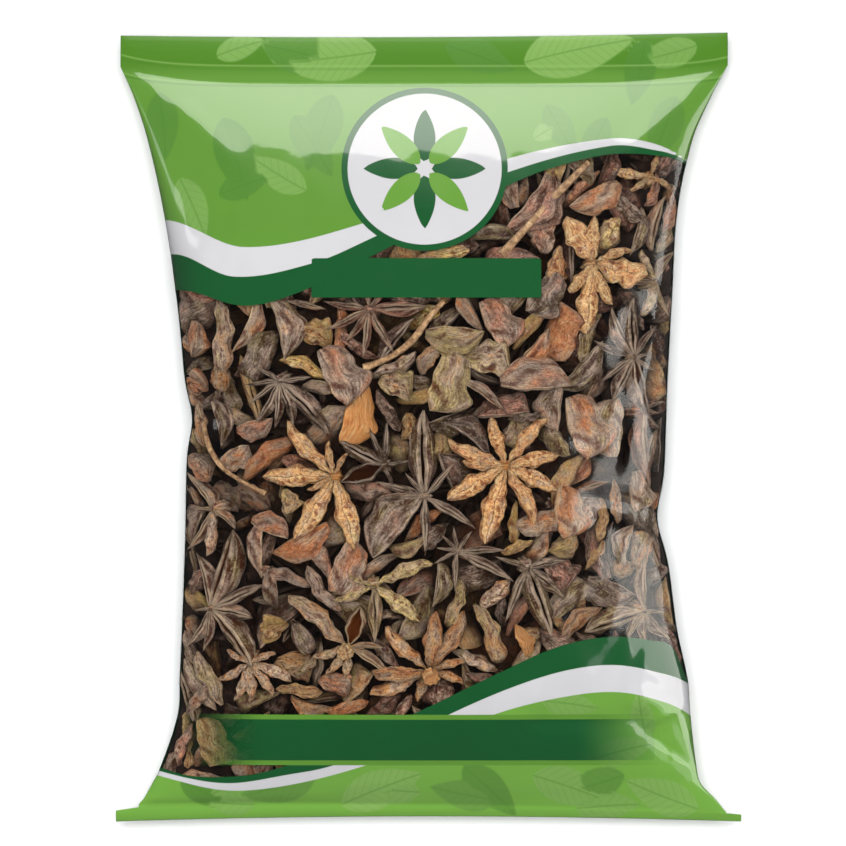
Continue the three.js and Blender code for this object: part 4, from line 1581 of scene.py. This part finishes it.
def mark_sunk(pieces):
    """Writes on every point of the heap how far it lies below the heap's top around it, in millimetres."""
    across = np.arange(-MAP_HALF_WIDTH, MAP_HALF_WIDTH, FINE_CELL)
    x, y = np.meshgrid(across, np.arange(-MAP_HALF_LENGTH, MAP_HALF_LENGTH, FINE_CELL))

    def cells(points):
        row = ((points[:, 1] + MAP_HALF_LENGTH) / FINE_CELL).astype(int)
        column = ((points[:, 0] + MAP_HALF_WIDTH) / FINE_CELL).astype(int)
        return np.clip(row, 0, x.shape[0] - 1), np.clip(column, 0, x.shape[1] - 1)

    film = front_height(x, y)
    top = film - CORE_DEPTH
    corners = {made: points_of(made.data) for made in pieces}
    for points in corners.values():
        np.maximum.at(top, cells(points), points[:, 2])
    for axis in (0, 1):
        top = np.maximum(top, np.maximum(np.roll(top, 1, axis), np.roll(top, -1, axis)))
    reach = int(NEIGHBOURHOOD / FINE_CELL / 2)
    around = spread_out(spread_out(top, reach), reach)
    for made, points in corners.items():
        points = points[: len(made.data.vertices)]
        below_film = film[cells(points)] - points[:, 2]
        below_others = around[cells(points)] - points[:, 2]
        # The pods' material turns this value into painted shade.
        mark(made.data, "sunk", np.maximum(below_others, 0.6 * (below_film - CLOSE_UNDER)))


# ---- Making the heap ----


def heap_tree(material):
    """Sets shapes from a shelf on points, by each point's own turn, size and number on the shelf."""
    tree, given = new_tree("pods_on_points", [("Shapes", "NodeSocketCollection")])

    def own(name, kind):
        return node(tree, "GeometryNodeInputNamedAttribute", {"Name": name}, data_type=kind).outputs[0]

    shelf = node(tree, "GeometryNodeCollectionInfo", {0: given["Shapes"], 1: True, 2: True}).outputs[0]
    as_points = node(tree, "GeometryNodeMeshToPoints", {"Mesh": given["Geometry"]}).outputs[0]
    set_out = node(tree, "GeometryNodeInstanceOnPoints", {
        "Points": as_points,
        "Instance": shelf,
        "Pick Instance": True,
        "Instance Index": own("which", "INT"),
        "Rotation": own("turn", "FLOAT_VECTOR"),
        "Scale": own("size", "FLOAT"),
    }).outputs[0]
    end_tree(tree, set_out, material)
    return tree


def heap_piece(name, placed, shelf, material):
    """All placed pods of one kind as one mesh."""
    which, places, turns, sizes, tones, hues = zip(*placed)
    base = bpy.data.meshes.new(name + "_points")
    base.from_pydata((np.array(places) * MM).tolist(), [], [])
    mark(base, "turn", [tuple(turn) for turn in turns])
    mark(base, "size", sizes)
    mark(base, "tone", tones)
    mark(base, "hue", hues)
    number = base.attributes.new("which", "INT", "POINT")
    number.data.foreach_set("value", np.array(which, dtype=np.int32))
    mesh = run_tree(heap_tree(material), base, name, {"Shapes": shelf})
    return piece(name, mesh, material)


def pod_material():
    """Dry carpel wall: streaked along its length and creased where it has shrunk, with pale lips.

    Tone sets how dark a pod is, up to the bare orange of a wall's inside, and hue how olive or red. Both
    drift along and across each wall. Places that lie deep between the pods get painted shade, as do the
    folds' valleys and the crumples' pockets, and the fold ridges get a painted highlight.
    """
    material, tree = new_material("dried_anise")
    place = node(tree, "ShaderNodeTexCoord").outputs["Object"]
    grain = attribute(tree, "grain", "Vector")

    def stretched(*scale):
        return node(tree, "ShaderNodeMapping", {"Vector": grain, "Scale": scale}).outputs[0]

    streaks = noise(tree, stretched(0.28, 2.3, 1.0), 1.0, 5.0, 0.66)
    crumple = noise(tree, stretched(0.55, 1.1, 1.0), 1.0, 3.0, 0.6)
    drift = noise(tree, stretched(0.16, 0.22, 1.0), 1.0, 1.0)
    blotch = noise(tree, place, 260.0, 3.0, 0.6)
    speck = noise(tree, place, 1500.0, 3.0, 0.75)
    fold = attribute(tree, "fold")
    edge = attribute(tree, "edge")
    tone = attribute(tree, "tone")
    arm = attribute(tree, "arm")
    lip = attribute(tree, "lip")
    sunk = attribute(tree, "sunk")

    def share_of(value, low, high):
        return share_between(tree, value, low, high)

    def swayed(value, by, middle, weight):
        away = maths(tree, "MULTIPLY", maths(tree, "SUBTRACT", by, middle), weight)
        return maths(tree, "ADD", value, away)

    # The tone drifts with the arm and the wall's own blotches and streaks. It also follows the same heights
    # that the bump and the folds give, so ridges are painted lighter and valleys painted darker.
    level = tone
    for by, middle, weight in ((arm, 0.5, 0.22), (drift, 0.5, 0.9), (blotch, 0.5, 0.7), (streaks, 0.5, 1.1),
                               (crumple, 0.5, 0.6), (fold, 0.0, 0.18)):
        level = swayed(level, by, middle, weight)
    wall = ramp(tree, level, [
        (0.00, ink(104, 78, 64)),
        (0.20, ink(193, 165, 147)),
        (0.42, ink(238, 208, 186)),
        (0.62, ink(255, 218, 178)),
        (0.82, ink(254, 190, 120)),
        (1.00, ink(255, 224, 168)),
    ])
    hue = swayed(swayed(attribute(tree, "hue"), drift, 0.5, 1.8), blotch, 0.5, 0.8)
    tint = ramp(tree, hue, [
        (0.00, (0.94, 0.98, 0.56, 1)),
        (0.35, (0.94, 0.98, 0.98, 1)),
        (0.62, (1.00, 0.93, 0.86, 1)),
        (1.00, (1.00, 0.66, 0.58, 1)),
    ])
    tinted = node(tree, "ShaderNodeMix", {0: 1.0, 6: wall, 7: tint}, data_type="RGBA", blend_type="MULTIPLY")
    wall = tinted.outputs[2]

    # Painted shade in the folds' valleys and in the pockets of the crumples, with the wall's own dark crack
    # lines, all in one dark brown that the dark specks use too.
    valley_shade = share_of(fold, -0.10, -0.65)
    crack = share_of(maths(tree, "ABSOLUTE", maths(tree, "SUBTRACT", crumple, 0.5)), 0.026, 0.006)
    split = share_of(maths(tree, "ABSOLUTE", maths(tree, "SUBTRACT", streaks, 0.46)), 0.030, 0.008)
    pocket_shade = maths(tree, "MULTIPLY", share_of(crumple, 0.46, 0.39), share_of(lip, 0.50, 0.20))
    dark = 0.0
    for marked, strength in ((valley_shade, 0.85), (crack, 0.45), (split, 0.65), (pocket_shade, 0.85)):
        dark = maths(tree, "MAXIMUM", dark, maths(tree, "MULTIPLY", marked, strength))
    shade_crack_and_speck_dark = blend(tree, tone, ink(24, 14, 10), ink(136, 58, 18))
    wall = blend(tree, dark, wall, shade_crack_and_speck_dark)
    dust = blend(tree, tone, ink(226, 208, 194), ink(255, 222, 176))
    ridge_highlight = blend(tree, tone, ink(206, 182, 164), ink(255, 218, 164))
    # Dark and pale specks of the wall, and a painted highlight along the fold ridges.
    for marked, strength, over in (
        (share_of(speck, 0.46, 0.36), 0.60, shade_crack_and_speck_dark),
        (share_of(speck, 0.54, 0.66), 0.50, dust),
        (share_of(fold, 0.35, 0.90), 0.45, ridge_highlight),
    ):
        wall = blend(tree, maths(tree, "MULTIPLY", marked, strength), wall, over)

    on_lip = share_of(maths(tree, "ABSOLUTE", edge), 0.44, 0.22)
    on_lip = maths(tree, "MULTIPLY", on_lip, share_of(blotch, 0.36, 0.56))
    on_lip = maths(tree, "MULTIPLY", on_lip, lip)
    lip_colour = blend(tree, tone, ink(226, 200, 182), ink(255, 220, 166))
    colour = blend(tree, on_lip, wall, lip_colour)
    hollow = blend(tree, tone, ink(40, 24, 17), ink(156, 82, 34))
    hollow_share = maths(tree, "MULTIPLY", share_of(edge, -0.10, -0.35), share_of(lip, 0.25, 0.50))
    colour = blend(tree, hollow_share, colour, hollow)
    bare = ramp(tree, streaks, [
        (0.3, ink(200, 112, 52)),
        (0.5, ink(244, 168, 98)),
        (0.7, ink(255, 210, 146)),
    ])
    colour = blend(tree, share_of(tone, 1.06, 1.12), colour, bare)
    # Painted shade: points that lie deep between the pods or far under the film turn near black.
    depth = maths(tree, "MULTIPLY", share_of(sunk, 0.7, 4.6), 0.94)
    colour = blend(tree, depth, colour, ink(32, 12, 5))

    height = maths(tree, "ADD", maths(tree, "MULTIPLY", streaks, 1.5), maths(tree, "MULTIPLY", crumple, 0.8))
    height = maths(tree, "ADD", height, maths(tree, "MULTIPLY", speck, 0.3))
    relief_node = node(tree, "ShaderNodeBump", {"Height": height, "Strength": 1.0, "Distance": 1.8 * MM})
    surface = node(tree, "ShaderNodeBsdfPrincipled", {
        "Base Color": colour,
        "Roughness": 0.45,
        "Specular IOR Level": 0.5,
        "Normal": relief_node.outputs[0],
    })
    finish_material(tree, surface.outputs[0])
    return material


# Stalks against the window: the places each runs through, x and y, and its radius at both ends.
STALKS = [
    ([(3.4, 28.5), (0.0, 25.0), (-3.4, 19.5), (-8.5, 15.8), (-14.6, 13.4)], 0.72, 0.78),
    ([(36.5, 60.5), (30.5, 54.5), (25.5, 49.0), (20.5, 43.5), (16.5, 39.0)], 0.80, 0.95),
    ([(-51.5, 1.0), (-50.2, -5.0), (-47.0, -9.6), (-42.5, -12.4), (-37.0, -15.2)], 0.62, 0.45),
]
STALK_SEED = 7
STALK_STATIONS = 30


def stalk_paths():
    """Each stalk as rows of x, y, z and radius, just under the film."""
    rng = np.random.default_rng(STALK_SEED)
    paths = []
    for places, first, last in STALKS:
        places = np.array(places)
        t = np.linspace(0, 1, STALK_STATIONS)
        at = np.linspace(0, 1, len(places))
        x, y = smooth(np.interp(t, at, places[:, 0])), smooth(np.interp(t, at, places[:, 1]))
        girth = np.interp(t, [0, 1], [first, last]) * (1 + 0.12 * np.sin(9 * t + rng.uniform(0, 6)))
        girth = girth * (1 + 0.3 * np.exp(-(((t - 1) / 0.06) ** 2)))
        z = front_height(x, y) - FILM_GAP - 0.4 - girth
        paths.append(np.stack([x, y, smooth(z), girth], axis=-1))
    return paths


def lay_stalks(heap):
    """Keeps the stalks' room free of pods."""
    for path in stalk_paths():
        beside = [path[:, :3] + (dx, dy, 0) for dx in (-1.2, 0, 1.2) for dy in (-1.2, 0, 1.2)]
        points = np.concatenate(beside) - (0, 0, 1.0)
        heap.ceiling.place(points, heap.ceiling.cells(points[:, 0], points[:, 1]))


def stalk_tree(material):
    """Sweeps a round stalk along each path, as thick as the path's own points say."""
    tree, given = new_tree("stalks_on_paths", [("Sides", "NodeSocketInt")])
    path = node(tree, "GeometryNodeMeshToCurve", {0: given["Geometry"]}).outputs[0]
    section = {"Resolution": given["Sides"], "Radius": MM}
    ring = node(tree, "GeometryNodeCurvePrimitiveCircle", section).outputs[0]
    girth = node(tree, "GeometryNodeInputNamedAttribute", {"Name": "girth"}, data_type="FLOAT").outputs[0]
    tube = node(tree, "GeometryNodeCurveToMesh", {
        "Curve": path,
        "Profile Curve": ring,
        "Scale": girth,
        "Fill Caps": True,
    }).outputs[0]
    end_tree(tree, tube, material)
    return tree


def stalk_piece(material):
    """All stalks as one mesh."""
    points, links, girths = [], [], []
    for path in stalk_paths():
        start = len(points)
        points += path[:, :3].tolist()
        links += [(start + i, start + i + 1) for i in range(len(path) - 1)]
        girths += path[:, 3].tolist()
    base = bpy.data.meshes.new("stalk_paths")
    base.from_pydata((np.array(points) * MM).tolist(), links, [])
    mark(base, "girth", girths)
    mesh = run_tree(stalk_tree(material), base, "stalks", {"Sides": 12})
    mesh.shade_smooth()
    return piece("stalks", mesh, material)


def smooth(values):
    """A line of numbers with its corners rounded and its ends kept."""
    for _ in range(12):
        values = np.concatenate([values[:1], (values[:-2] + 2 * values[1:-1] + values[2:]) / 4, values[-1:]])
    return values


def stalk_material():
    """Grey-tan bark with fine lengthwise grain."""
    material, tree = new_material("stalk_bark")
    place = node(tree, "ShaderNodeTexCoord").outputs["Object"]
    bark = noise(tree, place, 700.0, 4.0, 0.7)
    colour = ramp(tree, bark, [(0.3, ink(84, 58, 40)), (0.52, ink(164, 128, 92)), (0.72, ink(220, 184, 138))])
    rough = node(tree, "ShaderNodeBump", {"Height": bark, "Strength": 0.7, "Distance": 0.4 * MM})
    surface = node(tree, "ShaderNodeBsdfPrincipled", {
        "Base Color": colour,
        "Roughness": 0.75,
        "Normal": rough.outputs[0],
    })
    finish_material(tree, surface.outputs[0])
    return material


CORE_DEPTH = 17.0  # of the core's top under the film, at least
CORE_EDGE = 0.6  # from the core to the side seams
CORE_TOP, CORE_BOTTOM = TOP_WELD - 6, BOTTOM_WELD + 4  # its ends along the bag
CORE_COLUMNS, CORE_ROWS = 60, 80


def core_piece():
    """The rest of the heap as one rough body in painted shade, behind the pods that show."""
    across = np.linspace(0, 1, CORE_COLUMNS + 1)
    share, y = np.meshgrid(across, np.linspace(CORE_TOP, CORE_BOTTOM, CORE_ROWS + 1))
    left, right = edges(y)
    x = left + CORE_EDGE + (right - left - 2 * CORE_EDGE) * share
    bottom = back_height(x, y) + 0.6
    lumps = 1.3 * np.sin(0.45 * x + 1.7 * np.sin(0.31 * y)) + 1.3 * np.sin(0.5 * y + 1.5 * np.sin(0.37 * x))
    beside = np.clip(6 * (0.5 - np.abs(share - 0.5)), 0, 1)
    top = np.maximum(front_height(x, y) - CORE_DEPTH, seam_height(y) - 1.2) + lumps * beside
    top = np.maximum(np.minimum(top, front_height(x, y) - 1.0), bottom + 0.3)
    mesh = mesh_of("heap_core", *closed_skin(x, y, top, bottom))
    return piece("heap_core", mesh, core_material())


def core_material():
    """Painted shade: the heap's inside in near-black, with a little of the pods' brown."""
    material, tree = new_material("heap_core_painted_shade")
    place = node(tree, "ShaderNodeTexCoord").outputs["Object"]
    lumps = noise(tree, place, 240.0, 5.0, 0.65)
    colour = ramp(tree, lumps, [(0.35, ink(14, 11, 11)), (0.6, ink(44, 32, 27)), (0.8, ink(78, 54, 38))])
    rough = node(tree, "ShaderNodeBump", {"Height": lumps, "Strength": 1.0, "Distance": 2.0 * MM})
    surface = node(tree, "ShaderNodeBsdfPrincipled", {
        "Base Color": colour,
        "Roughness": 0.85,
        "Normal": rough.outputs[0],
    })
    finish_material(tree, surface.outputs[0])
    return material


def make_contents():
    """Builds the source shapes, packs them under the film and makes each kind one mesh."""
    dry = pod_material()

    def carpels(names, detail, first_seed):
        return {name: carpel_mesh(name, detail, first_seed + i) for i, name in enumerate(names)}

    shelves = {
        "closed": library("closed", carpels(WHORL_KINDS["dark"], COARSE, 10)),
        "shrunk": library("shrunk", carpels(WHORL_KINDS["tan"], COARSE, 30)),
    }
    hub = hub_mesh()
    meshes = {
        "arms": carpels(sorted({arm[2] for pod in WINDOW_PODS for arm in pod[4]}), FINE, 50) | {"hub": hub},
        "loose": carpels(sorted({row[0] for row in WINDOW_CARPELS}), FINE, 80),
        "dark": whorl_meshes(DARK_WHORLS, shelves, hub, dry, "dark_whorl"),
        "tan": whorl_meshes(TAN_WHORLS, shelves, hub, dry, "tan_whorl"),
        "small": carpels(LOOSE_KINDS, COARSE, 110),
    }
    heap = Heap(Ceiling())
    for kind, shapes in meshes.items():
        heap.stock(kind, shapes)
    lay_stalks(heap)
    print("placed pods left out", lay_window_pods(heap))
    rng = np.random.default_rng(FILL_SEED)
    fill(heap, ["small"], [1.0], SIDE_CARPELS, FILL_TRIES, rng, heap.ceiling.beside)
    fill(heap, ["small"], [1.0], FIRST_CARPELS, FILL_TRIES, rng)
    fill(heap, ["dark", "tan", "small"], [0.5, 0.2, 0.3], FILL_PODS, FILL_TRIES, rng)
    fill(heap, ["small"], [1.0], LAST_CARPELS, FILL_TRIES, rng)
    names = {
        "arms": "window_pods",
        "loose": "window_carpels",
        "dark": "dark_pods",
        "tan": "tan_pods",
        "small": "loose_carpels",
    }
    pieces = []
    for kind, name in names.items():
        made = heap_piece(name, heap.placed[kind], library(name + "_shapes", meshes[kind]), dry)
        print(name, len(heap.placed[kind]), "shapes", len(made.data.polygons), "faces")
        press_in(made)
        pieces.append(made)
    mark_sunk(pieces)
    print("open cells left", int(heap.ceiling.open.sum()), "of", int(heap.ceiling.wanted.sum()))
    stalk_piece(stalk_material())
    core_piece()


# ---- Studio ----

CAMERA_AT = (-1.27, 0.92)  # over this place, looking straight down
CAMERA_DISTANCE = 2000.0
CAMERA_LEVEL = 15.0  # height at which the frame is as wide as FRAME_WIDTH
FRAME_WIDTH = 194.6
SENSOR = 36.0


def studio_camera():
    data = bpy.data.cameras.new("camera")
    data.sensor_width = SENSOR
    data.lens = SENSOR * CAMERA_DISTANCE / FRAME_WIDTH
    data.clip_start, data.clip_end = 0.05, 20.0
    camera = bpy.data.objects.new("camera", data)
    camera.location = Vector((*CAMERA_AT, CAMERA_LEVEL + CAMERA_DISTANCE)) * MM
    bpy.context.scene.collection.objects.link(camera)
    bpy.context.scene.camera = camera


def panel(name, place, aim, width, height, power, in_gloss=True, in_diffuse=True):
    """A soft rectangular lamp, in metres and watts."""
    data = bpy.data.lights.new(name, "AREA")
    data.shape = "RECTANGLE"
    data.size, data.size_y = width, height
    data.energy = power
    lamp = bpy.data.objects.new(name, data)
    lamp.location = place
    lamp.rotation_euler = (Vector(aim) - Vector(place)).to_track_quat("-Z", "Y").to_euler()
    lamp.visible_glossy = in_gloss
    lamp.visible_diffuse = in_diffuse
    bpy.context.scene.collection.objects.link(lamp)
    return lamp


# Lamps: name, place, what they aim at, width, height, in metres, and watts.
SOFT_LAMPS = [
    ("overhead", (-0.02, 0.09, 1.30), (0.0, 0.0, 0.0), 0.6, 0.6, 21.0),
    ("sky", (0.0, 0.0, 1.60), (0.0, 0.0, 0.0), 3.2, 3.2, 14.0),
]
WARM_CARDS = [
    ("top_card", (-0.001, 0.140, 0.015), (-0.001, 0.0, 0.015), 0.144, 0.080, 0.225),
    ("right_card", (1.0, -0.16, 0.20), (0.0, -0.02, 0.03), 0.8, 1.15, 14.0),
]
WHITE_CARDS = [
    ("corner_card", (-0.30, 0.16, -0.02), (-0.06, 0.06, 0.02), 0.11, 0.30, 0.36),
    ("foot_card", (0.46, -0.386, 0.28), (0.06, -0.06, 0.02), 0.20, 0.22, 0.25),
]
WARM_WHITE = (1.0, 0.98, 0.92)
WORLD_STRENGTH = 0.06


def studio_lights():
    """Soft light from overhead, and cards round the bag that show only as gloss on the film."""
    for lamp in SOFT_LAMPS:
        panel(*lamp, in_gloss=False)
    for card in WARM_CARDS:
        panel(*card, in_diffuse=False).data.color = WARM_WHITE
    for card in WHITE_CARDS:
        panel(*card, in_diffuse=False)
    world = bpy.data.worlds.new("studio")
    world.use_nodes = True
    world.node_tree.nodes["Background"].inputs[0].default_value = (1, 1, 1, 1)
    world.node_tree.nodes["Background"].inputs[1].default_value = WORLD_STRENGTH
    bpy.context.scene.world = world
    bpy.context.scene.view_settings.view_transform = "Standard"


FLOOR_HALF = 6000.0  # half the width of the floor


def studio_floor():
    """A plain pale sheet of paper under the bag."""
    corners = [(x * FLOOR_HALF, y * FLOOR_HALF, 0) for x, y in ((-1, -1), (1, -1), (1, 1), (-1, 1))]
    mesh = mesh_of("floor", corners, [(0, 1, 2, 3)])
    material, tree = new_material("floor_paper")
    place = node(tree, "ShaderNodeTexCoord").outputs["Object"]
    paper = blend(tree, noise(tree, place, 30.0), ink(246, 246, 247), ink(250, 250, 250))
    surface = node(tree, "ShaderNodeBsdfPrincipled", {"Base Color": paper, "Roughness": 0.9})
    finish_material(tree, surface.outputs[0])
    mesh.materials.append(material)
    floor = bpy.data.objects.new("floor", mesh)
    floor.visible_glossy = False
    bpy.context.scene.collection.objects.link(floor)


make_contents()
film_piece()
studio_floor()
studio_lights()
studio_camera()
